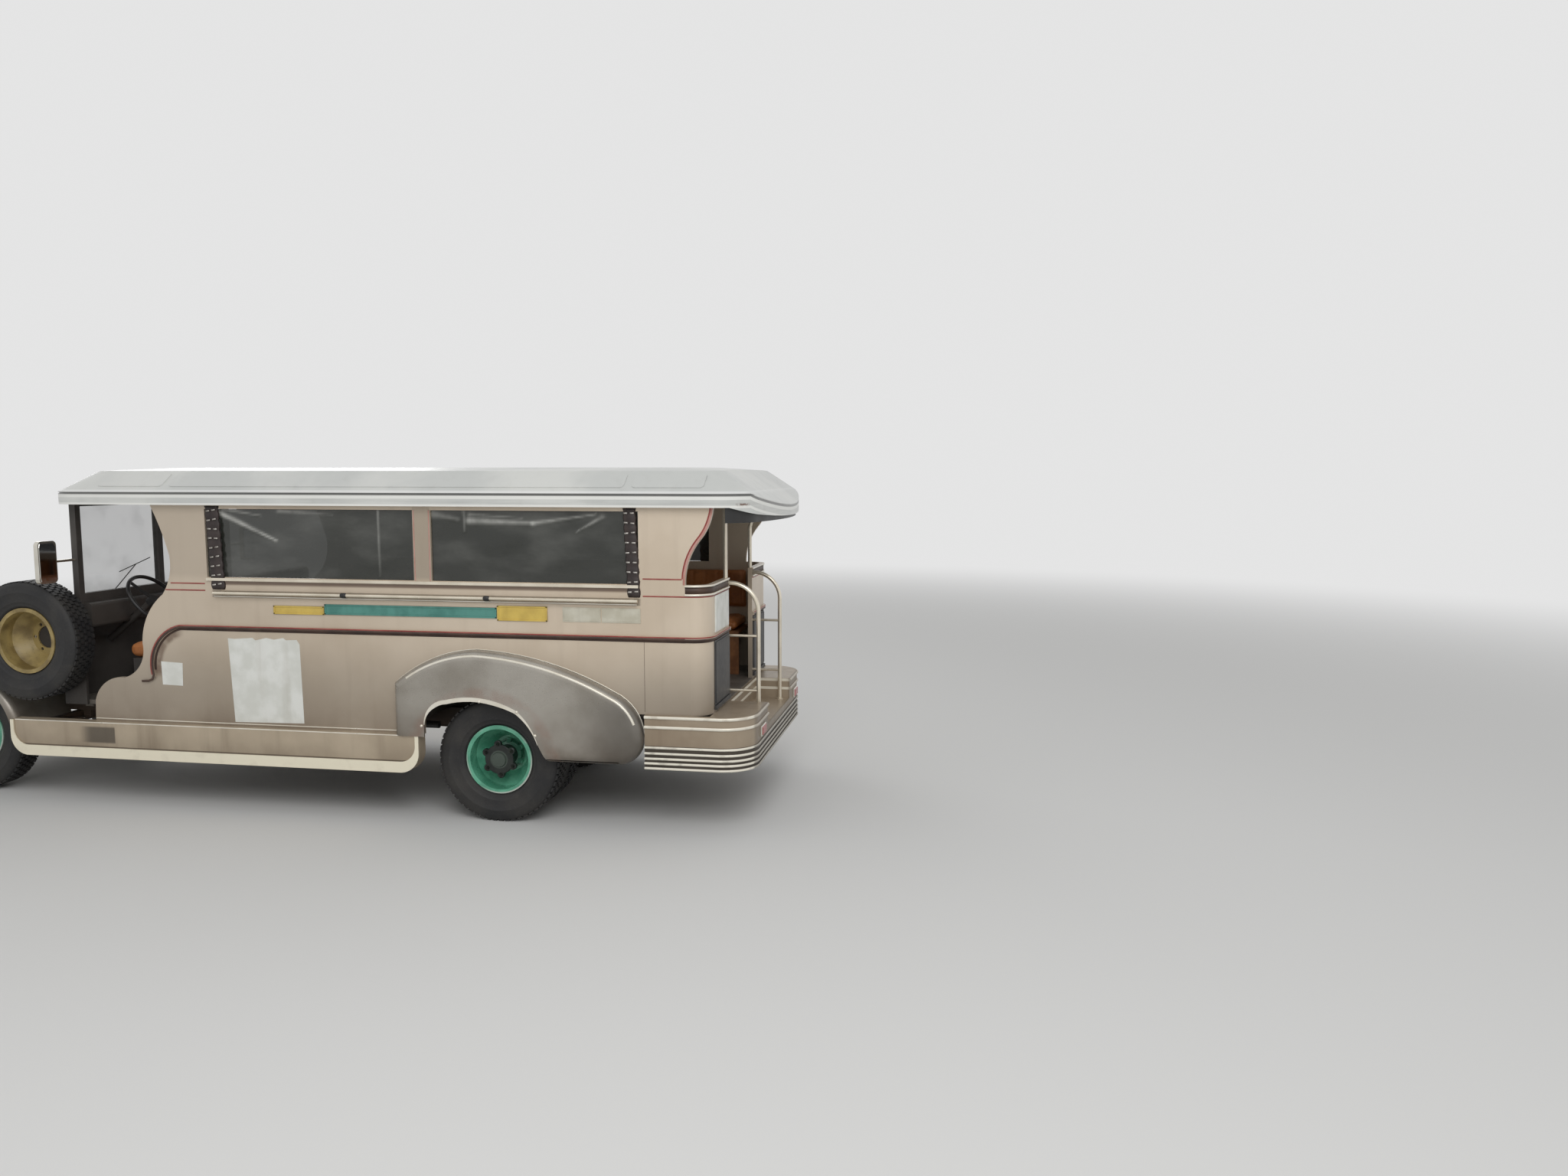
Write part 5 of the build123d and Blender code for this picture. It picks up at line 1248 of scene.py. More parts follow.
@dataclass
class Studio:
    """Pale floor, soft light and the camera at the photograph's angle."""

    eye: Point = (-3.000 - AXLE_BACK, 7.560, 2.236)
    yaw: float = 9.76
    pitch: float = 5.87
    lens: float = 26.02
    sky: float = 0.72
    floor_half: float = 60.0

    def camera(self) -> None:
        """Makes the camera."""
        data = bpy.data.cameras.new("camera")
        data.lens, data.sensor_width, data.sensor_fit = self.lens, 36.0, "HORIZONTAL"
        yaw, pitch = math.radians(self.yaw), math.radians(self.pitch)
        level = math.cos(pitch)
        made = linked("camera", data)
        aim(made, self.eye, Vector((math.sin(yaw) * level, -math.cos(yaw) * level, -math.sin(pitch))))
        bpy.context.scene.camera = made

    def floor(self) -> None:
        """Makes the floor, which fades into the backdrop away from the vehicle."""
        stock = Stock()
        half = self.floor_half
        stock.add([(-half, -half, 0), (half, -half, 0), (half, half, 0), (-half, half, 0)], [(0, 1, 2, 3)])
        made = stock.mesh("floor")
        sheen = Sheen("floor_pale")
        sheen.set(Base_Color=(0.70, 0.70, 0.69), Roughness=0.9, Specular_IOR_Level=0.1)
        glow = sheen.node("ShaderNodeEmission", None, {"Color": (0.78, 0.78, 0.78), "Strength": 1.0})
        away = (sheen.x * sheen.x + sheen.y * sheen.y).rise(40.0, 420.0)
        blend = sheen.node("ShaderNodeMixShader", None,
                           {0: away, 1: sheen.shader.outputs[0], 2: glow.outputs[0]})
        sheen.tree.links.new(blend.outputs[0], sheen.tree.nodes["Material Output"].inputs[0])
        made.data.materials.append(sheen.material)

    def lights(self) -> None:
        """Makes the even sky, which shows as the backdrop, and two soft lamps."""
        world = bpy.data.worlds.new("sky")
        world.use_nodes = True
        bpy.context.scene.world = world
        wiring = Wiring(world.node_tree)
        path = wiring.node("ShaderNodeLightPath")
        camera, glossy, through = (Sum(wiring, path.outputs[f"Is {kind} Ray"])
                                   for kind in ("Camera", "Glossy", "Transmission"))
        shown = (camera + glossy + through).both(1.0)
        backdrop = world.node_tree.nodes["Background"]
        backdrop.inputs[0].default_value = (0.78, 0.78, 0.78, 1.0)
        world.node_tree.links.new((shown * (1.0 - self.sky) + self.sky).socket, backdrop.inputs[1])
        for name, place, watts in (("key", (-5.0, 8.5, 7.5), 420.0), ("fill", (6.0, -7.0, 6.0), 200.0)):
            data = bpy.data.lights.new(name, "AREA")
            data.energy, data.size = watts, 6.0
            aim(linked(name, data), place, Vector((0, 0, 1.1)) - Vector(place))

    def build(self) -> None:
        """Makes all of it."""
        self.camera()
        self.floor()
        self.lights()
        bpy.context.scene.view_settings.view_transform = "Standard"


@dataclass
class Coachwork:
    """Lines, plates and papers on the body's sides and rear."""

    skin: float = BODY_HALF
    lip: float = 0.944
    side_rear: float = -1.251
    bead_front: float = -1.2505
    red_front: float = -0.985
    seam_x: float = -0.990
    doorway_half: float = 0.40
    lip_front: float = 2.180
    belt_z: float = 1.228
    line_w: float = 0.008

    def round_corner(self, out: float, z: float, front: float) -> list[Point]:
        """Level path along the side, round the rear corner and in to the doorway.

        Args:
            out: How far it stands off the body.
            z: Its height.
            front: Its front end.

        Returns:
            The path on the left.
        """
        radius = CORNER_R + out
        centre = (BODY_REAR + CORNER_R, BODY_HALF - CORNER_R)
        turn = [math.pi / 2 * (1 + step / 10) for step in range(11)]
        bend = [(centre[0] + radius * math.cos(a), centre[1] + radius * math.sin(a)) for a in turn]
        plan = [(front, BODY_HALF + out), *bend, (BODY_REAR - out, self.doorway_half)]
        return [at(x, y, z) for x, y in plan]

    def lines(self, moulding: Moulding) -> None:
        """Lays the red lines, the pink edges, the belt's shade and the beads.

        Args:
            moulding: What lays them.
        """
        side, lip, corner = self.skin + 0.0007, self.lip + 0.0006, self.round_corner
        belt = [(self.side_rear, self.belt_z), (0.5, self.belt_z),
                *arc((self.lip_front, self.belt_z), (2.346, 1.128), (2.400, 0.892), 14)]
        hook = [(2.408, 0.872), (2.430, 0.862), (2.480, 0.860)]
        edge = arcs((-1.251, 1.55), ((-1.275, 1.701), (-1.341, 1.818), 8),
                    ((-1.403, 1.920), (-1.429, 2.020), 8))
        inner = beside(edge, 0.0185)
        red = [upright(belt, lip), upright([(self.red_front, 1.584), (inner[1][0] + 0.002, 1.584)], side),
               upright(inner[1:], side)]
        red += [upright([(1.985, z), (front, z)], side) for front, z in ((2.235, 1.507), (2.275, 1.462))]
        pillars = [upright([(x, WINDOW_LOW), (x + 0.0001, WINDOW_HIGH)], side) for x in (0.4015, 0.5035)]
        shades = [upright(beside([*belt, *hook], 0.0125), lip), upright(beside(belt[:-1], 0.026), side)]
        red_turns = [corner(0.0006, 1.478, self.red_front), corner(0.0146, self.belt_z, self.side_rear)]
        beads = [corner(0.0076, z, self.bead_front) for z in (1.5435, 1.4895)]
        shade_turns = [corner(0.0146, 1.214, self.side_rear), corner(0.0007, 1.202, self.side_rear)]
        pink = upright(beside(edge, 0.0075), side)
        turn_shade = corner(0.0007, 1.517, self.bead_front)
        foot = upright([(0.662, 0.580), (2.850, 0.580)], side)
        seam = upright([(self.seam_x, 0.76), (self.seam_x - 0.0001, 1.205)], side - 0.0006)
        # The belt and corner shadow bands are painted shadow under the belt lip, between the corner beads and
        # under the belt round the corners; the panel seams are dark joints.
        for name, paths, width, height, finish, slot, facing in (
            ("red_lines_side", red, 0.0012, self.line_w, RED_LINE, "body_metal", OUT),
            ("pink_edges", [pink], 0.0012, 0.013, PINK_BAND, "body_metal", OUT),
            ("pillar_lines", pillars, 0.0012, 0.006, PINK_BAND, "body_metal", OUT),
            ("belt_shadows", shades, 0.0016, 0.015, SHADOW_AND_SEAM_BAND, "body_metal", OUT),
            ("red_lines_corner", red_turns, self.line_w, 0.0012, RED_LINE, "body_metal", UP),
            ("corner_beads", beads, 0.0115, 0.0016, CREAM, "bright_trim", UP),
            ("corner_shadows", [turn_shade], 0.040, 0.0012, SHADOW_AND_SEAM_BAND, "body_metal", UP),
            ("belt_shadows_corner", shade_turns, 0.013, 0.0012, SHADOW_AND_SEAM_BAND, "body_metal", UP),
            ("foot_beads", [foot], 0.004, 0.007, CREAM, "bright_trim", OUT),
            ("panel_seams", [seam], 0.0010, 0.002, SHADOW_AND_SEAM_BAND, "body_metal", OUT),
        ):
            moulding.lay(name, both(*paths), width, height, finish, slot, facing)

    def leaf(self, stock: Stock, rear: float, front: float, low: float, high: float, out: float) -> None:
        """Adds a flat block on the left side.

        Args:
            stock: What it goes into.
            rear: Its rear edge, forward of the rear axle.
            front: Its front edge.
            low: Its lower edge.
            high: Its upper edge.
            out: How far it stands off the body.
        """
        stock.block(at(rear, self.skin, low), at(front, self.skin + out, high))

    def plates(self) -> None:
        """Puts up the blank plates."""
        rim = 0.009
        for name, rear, front, low, high, finish in (
            ("plate_yellow_front", 1.140, 1.495, 1.318, 1.372, YELLOW_PLATE),
            ("plate_yellow_rear", -0.369, -0.042, 1.309, 1.402, YELLOW_PLATE),
            ("plate_teal", -0.036, 1.134, 1.322, 1.388, TEAL_PLATE),
        ):
            stock = Stock()
            self.leaf(stock, rear, front, low, high, 0.004)
            for edges in ((rear, front, low, low + rim), (rear, front, high - rim, high),
                          (rear, rear + rim, low, high), (front - rim, front, low, high)):
                self.leaf(stock, *edges, 0.008)
            stock.piece(name, finish, "body_metal", 0.0012)
        low, high, rim = 1.310, 1.402, 0.008
        stock = Stock()
        for rear, front in ((-0.970, -0.722), (-0.716, -0.470)):
            self.leaf(stock, rear, front, low, high, 0.004)
            self.leaf(stock, rear + rim, front - rim, low + rim, high - rim, 0.006)
        stock.piece("plate_white", WHITE_PLATE, "body_metal", 0.001)

    def papers(self) -> None:
        """Sticks on the torn paper sheet and the small one."""
        torn = ((1.315, 0.600), (1.325, 1.120), (1.345, 1.150), (1.420, 1.146), (1.440, 1.160),
                (1.505, 1.148), (1.560, 1.158), (1.640, 1.140), (1.660, 1.156), (1.790, 1.146),
                (1.838, 1.150), (1.812, 0.592))
        small = ((2.185, 0.822), (2.180, 0.975), (2.338, 0.982), (2.334, 0.826))
        stock = Stock()
        for outline in (torn, small):
            stock.loft([upright(outline, self.skin + out) for out in (0.0003, 0.0013)])
        stock.piece("paper_sheets", PAPER, "body_metal")

    def rear_faces(self) -> None:
        """Puts up the blank board, and the dark panels beside the doorway with their black feet."""
        board = ((0.008, 0.415, 0.790, 1.246, 1.474), (0.010, 0.425, 0.780, 1.256, 1.464))
        panels = ((0.006, 0.400, 0.805, 0.790, 1.196), (0.012, 0.412, 0.793, 0.802, 1.184),
                  (0.016, 0.400, 0.805, 0.762, 0.788))
        for name, blocks, finish, paired in (("rear_board", board, PAPER, False),
                                             ("rear_panels", panels, SLATE, True)):
            stock = Stock()
            for out, inner, outer, low, high in blocks:
                stock.block(at(BODY_REAR - out, inner, low), at(BODY_REAR, outer, high))
            if paired:
                stock.mirrored()
            stock.piece(name, finish, "body_metal", 0.002)

    def build(self, moulding: Moulding) -> None:
        """Makes all of it.

        Args:
            moulding: What lays the lines.
        """
        self.lines(moulding)
        self.plates()
        self.papers()
        self.rear_faces()


@dataclass
class Curtains:
    """Clear roll-down curtains with their lashed straps at the window ends."""

    plane: float = 0.915
    columns: int = 110
    rows: int = 38
    strap_low: float = 1.470
    strap_high: float = 2.014
    strap_steps: int = 28
    lashing: float = 0.065
    lean: float = 0.045
    crest: float = 0.006
    drift: float = 0.004
    # Each run of a fold: start u and v, end u and v, width, and the strength of its painted highlight.
    runs: dict[str, tuple[tuple[float, ...], ...]] = field(default_factory=lambda: {
        "front": ((0.03, 0.0, 0.34, 0.45, 0.020, 0.90), (0.09, 0.0, 0.27, 0.09, 0.011, 0.45),
                  (0.836, 0.0, 0.838, 0.95, 0.0035, 0.4), (0.36, 0.02, 0.62, 0.07, 0.011, 0.35)),
        "rear": ((0.0, 0.05, 0.13, 0.12, 0.028, 0.30), (0.19, 0.14, 0.50, 0.17, 0.016, 0.62),
                 (0.50, 0.17, 0.80, 0.04, 0.012, 0.60), (0.83, 0.08, 0.71, 0.28, 0.012, 0.42),
                 (0.19, 0.05, 0.45, 0.10, 0.008, 0.30), (0.16, 0.0, 0.165, 0.30, 0.005, 0.30)),
    })

    def fold(self, u: float, v: float, end: str, seed: int) -> Flat:
        """Swell of the plastic at a place, and the painted highlight along its folds.

        Args:
            u: Share of the width from the front.
            v: Share of the height from the top.
            end: Which window of the side it is.
            seed: Which curtain it is.

        Returns:
            Metres off the plane, and the share of painted highlight.
        """
        swell, pale_share = 0.0, 0.0
        for au, av, bu, bv, width, light in self.runs[end]:
            du, dv = bu - au, bv - av
            share = max(0.0, min(1.0, ((u - au) * du + (v - av) * dv) / (du ** 2 + dv ** 2)))
            away = math.hypot(u - au - share * du, (v - av - share * dv) * 0.35)
            crest = math.exp(-(away / (width * (1 - share * 0.6))) ** 2) * (1 - share * 0.35)
            swell += crest * self.crest
            pale_share += crest * light
        drift = noise.noise(Vector((u * 5, v * 2.2, seed * 7)))
        return swell + drift * self.drift, min(1.0, pale_share)

    def panes(self) -> None:
        """Hangs the four curtains."""
        gap, width = 0.002, self.columns + 1
        faces = [(r * width + c, r * width + c + 1, (r + 1) * width + c + 1, (r + 1) * width + c)
                 for r in range(self.rows) for c in range(self.columns)]
        windows = [(side, label, *pane) for side, label in SIDES for pane in zip(("rear", "front"), PANES)]
        for seed, (side, label, end, (rear, front)) in enumerate(windows, 1):
            points, folds = [], []
            for row in range(self.rows + 1):
                for column in range(width):
                    u, v = column / self.columns, row / self.rows
                    swell, pale_share = self.fold(u, v, end, seed)
                    hold = min(1.0, 6 * v, 8 * u, 8 * (1 - u))
                    x = front - gap - (front - rear - 2 * gap) * u
                    z = WINDOW_HIGH - gap - (WINDOW_HIGH - WINDOW_LOW - 2 * gap) * v
                    points.append(at(x, side * (self.plane + swell * hold), z))
                    folds.append(pale_share)
            data = bpy.data.meshes.new(f"curtain_{end}_{label}")
            data.from_pydata(points, [], faces if side < 0 else [face[::-1] for face in faces])
            # The fold attribute carries the painted highlight to the curtain's material.
            data.attributes.new("fold", "FLOAT", "POINT").data.foreach_set("value", folds)
            data.shade_smooth()
            made = finish_piece(linked(data.name, data), ClearVinyl(), Body.CHASSIS)
            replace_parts(made, "curtains")
            front - rear

    def leaned(self, z: float) -> float:
        """How far forward a strap leans at a height."""
        return (z - 1.75) * self.lean

    def straps(self, row: Row) -> None:
        """Hangs the lashed straps, with their ties.

        Args:
            row: What sets out the ties.
        """
        skin = BODY_HALF + 0.001
        ends = ((1.897, 0.108), (-0.918, 0.088))
        section = ((-1, 0), (-0.8, 0.8), (0, 1), (0.8, 0.8), (1, 0))
        stock = Stock()
        for x, width in ends:
            sections = []
            for step in range(self.strap_steps + 1):
                z = self.strap_low + (self.strap_high - self.strap_low) * step / self.strap_steps
                pinch = 0.5 + 0.5 * math.cos(2 * math.pi * (z - 1.5) / self.lashing)
                half = width / 2 * (0.84 + 0.16 * pinch)
                bulge = 0.006 + 0.006 * pinch
                middle = x + self.leaned(z)
                sections.append([at(middle + half * across, skin + bulge * up, z) for across, up in section])
            stock.loft(sections)
        stock.mirrored().piece("curtain_straps", STRAP, "clear_sheet", smooth=True)
        tie = Stock()
        round_tie = [(0.0055 * math.cos(a), 0.0045 * math.sin(a)) for a in (0.0, 1.05, 2.1, 3.14, 4.19, 5.24)]
        for across in (-0.022, 0.020):
            places = [across + reach for reach in (-0.012, 0.0, 0.012)]
            tie.loft([[(place, y, 0.0035 + z) for y, z in round_tie] for place in places])
        heights = (1.505, 1.700, 1.985)
        paths = both(*[upright([(x + self.leaned(z), z) for z in heights], skin + 0.0085) for x, _ in ends])
        for name, side, own in (("strap_ties", 1.0, paths[0::2]), ("strap_ties_right", -1.0, paths[1::2])):
            row.lay(name, own, tie, 0.055, TIE, "bright_trim", facing=(0.0, side, 0.0), tilt=0.15)

    def build(self, row: Row) -> None:
        """Makes all of it.

        Args:
            row: What sets out the ties.
        """
        self.panes()
        self.straps(row)


@dataclass
class Fenders:
    """Painted highlight beads, welts, opening trims and bolts of the fenders, and a painted highlight along
    the running boards' top edge.
    """

    outer: float = 1.004
    gleam_y: float = 0.9935
    welt_y: float = 0.9325
    sill_y: float = 0.9875
    sill_z: float = 0.5625
    bolts: tuple[Flat, ...] = ((0.064, 0.803), (-0.183, 0.745), (-0.300, 0.600), (0.456, 0.634))

    def build(self, moulding: Moulding, row: Row) -> None:
        """Makes all of it.

        Args:
            moulding: What lays the beads.
            row: What sets out the bolts.
        """
        crown = arcs((0.650, 0.900), ((0.420, 1.046), (0.100, 1.120), 12),
                     ((-0.420, 1.034), (-0.800, 0.876), 14), ((-0.930, 0.770), (-0.984, 0.620), 8))
        opening = arcs((0.440, 0.640), ((0.400, 0.755), (0.290, 0.806), 10),
                       ((0.040, 0.822), (-0.180, 0.752), 12), ((-0.262, 0.660), (-0.316, 0.540), 10))
        # The gleam is a cream tube laid as a painted highlight on the fender's rolled edge.
        gleam = upright(beside(crown, -0.032)[2:-2], self.gleam_y)
        welt = upright(beside(crown, 0.003), self.welt_y)
        sill = upright([(0.492, self.sill_z), (3.43, self.sill_z)], self.sill_y)
        for name, path, thick in (("fender_beads", gleam, 0.019), ("fender_welts", welt, 0.006)):
            moulding.lay(name, both(path), thick, thick, CREAM, "bright_trim", tube=True)
        last = len(opening) - 1
        shares = [index / last for index in range(last + 1)]
        slim = [-0.002 - 0.025 * min(1.0, share / 0.20, (1 - share) / 0.42) for share in shares]
        low, high = self.outer - 0.006, self.outer - 0.0002
        stock = Stock()
        stock.loft([[at(x, y, z) for (x, z), y in zip((edge, edge, inner, inner), (low, high, high, low))]
                    for edge, inner in zip(opening, beside(opening, slim))])
        stock.mirrored().piece("opening_trims", CREAM, "bright_trim")
        bolt = Stock()
        dome = ((0.009, 0.0001), (0.0075, 0.006), (0.003, 0.010), (0.0, 0.0105))
        bolt.rings(dome, 8, 2)
        for side, label in SIDES:
            seat = side * (self.outer - 0.001)
            paths = [upright([(x, z), (x - 0.004, z)], seat) for x, z in self.bolts]
            row.lay(f"fender_bolts_{label}", paths, bolt, 0.02, CREAM, "bright_trim",
                    facing=(0.0, float(side), 0.0))
        # A cream tube along each running board's top edge: a painted highlight.
        moulding.lay("sill_beads", both(sill), 0.008, 0.008, CREAM, "bright_trim", tube=True)


@dataclass
class Wheels:
    """Tyres with their tread, the rear hubs' flanges and the nuts of each wheel."""

    tread_r: float = 0.403
    groove_r: float = 0.393
    blocks: int = 58
    steps: int = 72
    twin_y: Flat = (0.800, 0.552)
    steered_y: float = 0.720
    hub_turn: float = 0.09
    hub_steps: int = 96
    hub_profile: tuple[Point, ...] = (
        (0.066, 0.0, 0.730), (0.066, 0.0, 0.846), (0.092, 0.026, 0.846), (0.096, 0.027, 0.849),
        (0.096, 0.027, 0.868), (0.092, 0.026, 0.872), (0.050, 0.0, 0.872), (0.045, 0.0, 0.882),
        (0.004, 0.0, 0.885),
    )
    lanes: tuple[Point, ...] = ((-0.077, -0.050, 0.1), (-0.044, -0.018, 0.5), (-0.012, 0.012, 0.0),
                                (0.018, 0.044, 0.5), (0.050, 0.077, 0.1))
    sidewall: tuple[Flat, ...] = (
        (0.2062, 0.060), (0.2075, 0.0615), (0.2255, 0.0618), (0.2262, 0.0655), (0.236, 0.0760),
        (0.2385, 0.0785), (0.2415, 0.0782), (0.262, 0.0905), (0.2645, 0.0925), (0.2675, 0.0920),
        (0.296, 0.1000), (0.325, 0.1020), (0.3275, 0.1035), (0.3305, 0.1025), (0.352, 0.1005),
        (0.372, 0.0955), (0.384, 0.0885), (0.3925, 0.0795),
    )

    def carcass(self) -> list[Flat]:
        """Closed section of a tyre as radius and Y, with its sidewall rings."""
        half = [*self.sidewall, *((self.groove_r, y) for y in (0.070, 0.030, 0.010))]
        return half + [(r, -y) for r, y in reversed(half)]

    def tyre(self, name: str, centre: Point, ring: Ring) -> bpy.types.Object:
        """One tyre.

        Args:
            name: Its name.
            centre: Middle of its tread.
            ring: What sets out the tread blocks.

        Returns:
            The tyre, not yet riding on a body.
        """
        stock = Stock()
        stock.lathe(self.carcass(), centre, self.steps)
        parts = [stock.mesh(f"{name}_carcass", True)]
        step = 2 * math.pi / self.blocks
        reach = step * 0.39
        for lane, (near, far, skew) in enumerate(self.lanes):
            corners = ((-reach, near), (reach * 0.9, near), (reach, far), (-reach * 0.9, far))
            block = Stock()
            block.loft([[(r * math.sin(a * slim), y, r * math.cos(a * slim)) for a, y in corners]
                        for r, slim in ((self.groove_r - 0.003, 1.0), (self.tread_r - 0.0006, 0.93))])
            parts.append(ring.lay(f"{name}_lane{lane}", block, self.blocks, centre, Rubber(), step * skew))
        return joined(name, parts)

    def nuts(self, name: str, body: Body, centre: Point, out: int, radius: float, phase: float,
             ring: Ring) -> None:
        """Six wheel nuts.

        Args:
            name: The piece's name.
            body: What they ride on.
            centre: Middle of their circle, at their seat.
            out: Which way along Y they stand.
            radius: Radius of their circle.
            phase: Turn of the first.
            ring: What sets them out.
        """
        nut = Stock()
        for size, low, high in ((0.0150, 0.0, 0.004), (0.0115, 0.004, 0.017), (0.0060, 0.017, 0.026)):
            nut.rings(((low * out, size), (high * out, size)), 6, 1, (0.0, 0.0, radius))
        finish_piece(ring.lay(name, nut, 6, centre, NUT_PAINT, phase=phase), NUT_PAINT, body)

    def flange(self, name: str, body: Body, side: int) -> None:
        """The barrel of a rear hub and the lobed flange of the drive shaft on its end.

        Args:
            name: The piece's name.
            body: What it rides on.
            side: 1 on the left and -1 on the right.
        """
        turn = [2 * math.pi * step / self.hub_steps for step in range(self.hub_steps)]
        sections = []
        for r, lobe, out in self.hub_profile:
            edge = [(r + lobe * max(0.0, math.cos(6 * a)) ** 0.6, a + self.hub_turn) for a in turn]
            plan = [(far * math.sin(a), WHEEL_Z + far * math.cos(a)) for far, a in edge]
            sections.append(upright(plan, side * out))
        stock = Stock()
        stock.loft(sections)
        stock.piece(name, HUB_PAINT, "green_rim", body=body)

    def fit(self, tyre: bpy.types.Object, body: Body, node: str) -> None:
        """Puts a tyre on its body, in place of the plain one."""
        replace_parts(finish_piece(tyre, Rubber(), body), node)

    def build(self, ring: Ring) -> None:
        """Makes all of it.

        Args:
            ring: What sets out blocks and nuts.
        """
        for (side, label), rear, front in zip(SIDES, (Body.REAR_LEFT, Body.REAR_RIGHT),
                                              (Body.FRONT_LEFT, Body.FRONT_RIGHT)):
            pair = [self.tyre(f"tyre_{label}_{spot}", at(0.0, side * y, WHEEL_Z), ring)
                    for spot, y in zip(("outer", "inner"), self.twin_y)]
            self.fit(joined(f"twin_tyres_{label}", pair), rear, f"rear_tyres_{label}")
            steered = self.tyre(f"steered_tyre_{label}", at(FRONT_AXLE, side * self.steered_y, WHEEL_Z), ring)
            self.fit(steered, front, f"front_tyre_{label}")
            self.flange(f"hub_flange_{label}", rear, side)
            for spot, body, x, y, radius, phase in (
                ("rear", rear, 0.0, 0.8715, 0.099, self.hub_turn),
                ("front", front, FRONT_AXLE, 0.8438, 0.092, math.pi / 6),
            ):
                self.nuts(f"{spot}_nuts_{label}", body, at(x, side * y, WHEEL_Z), side, radius, phase, ring)
        low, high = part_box("spare_tyre")
        centre = ((low[0] + high[0]) / 2, (low[1] + high[1]) / 2, (low[2] + high[2]) / 2)
        self.fit(self.tyre("spare_cover", centre, ring), Body.CHASSIS, "spare_tyre")


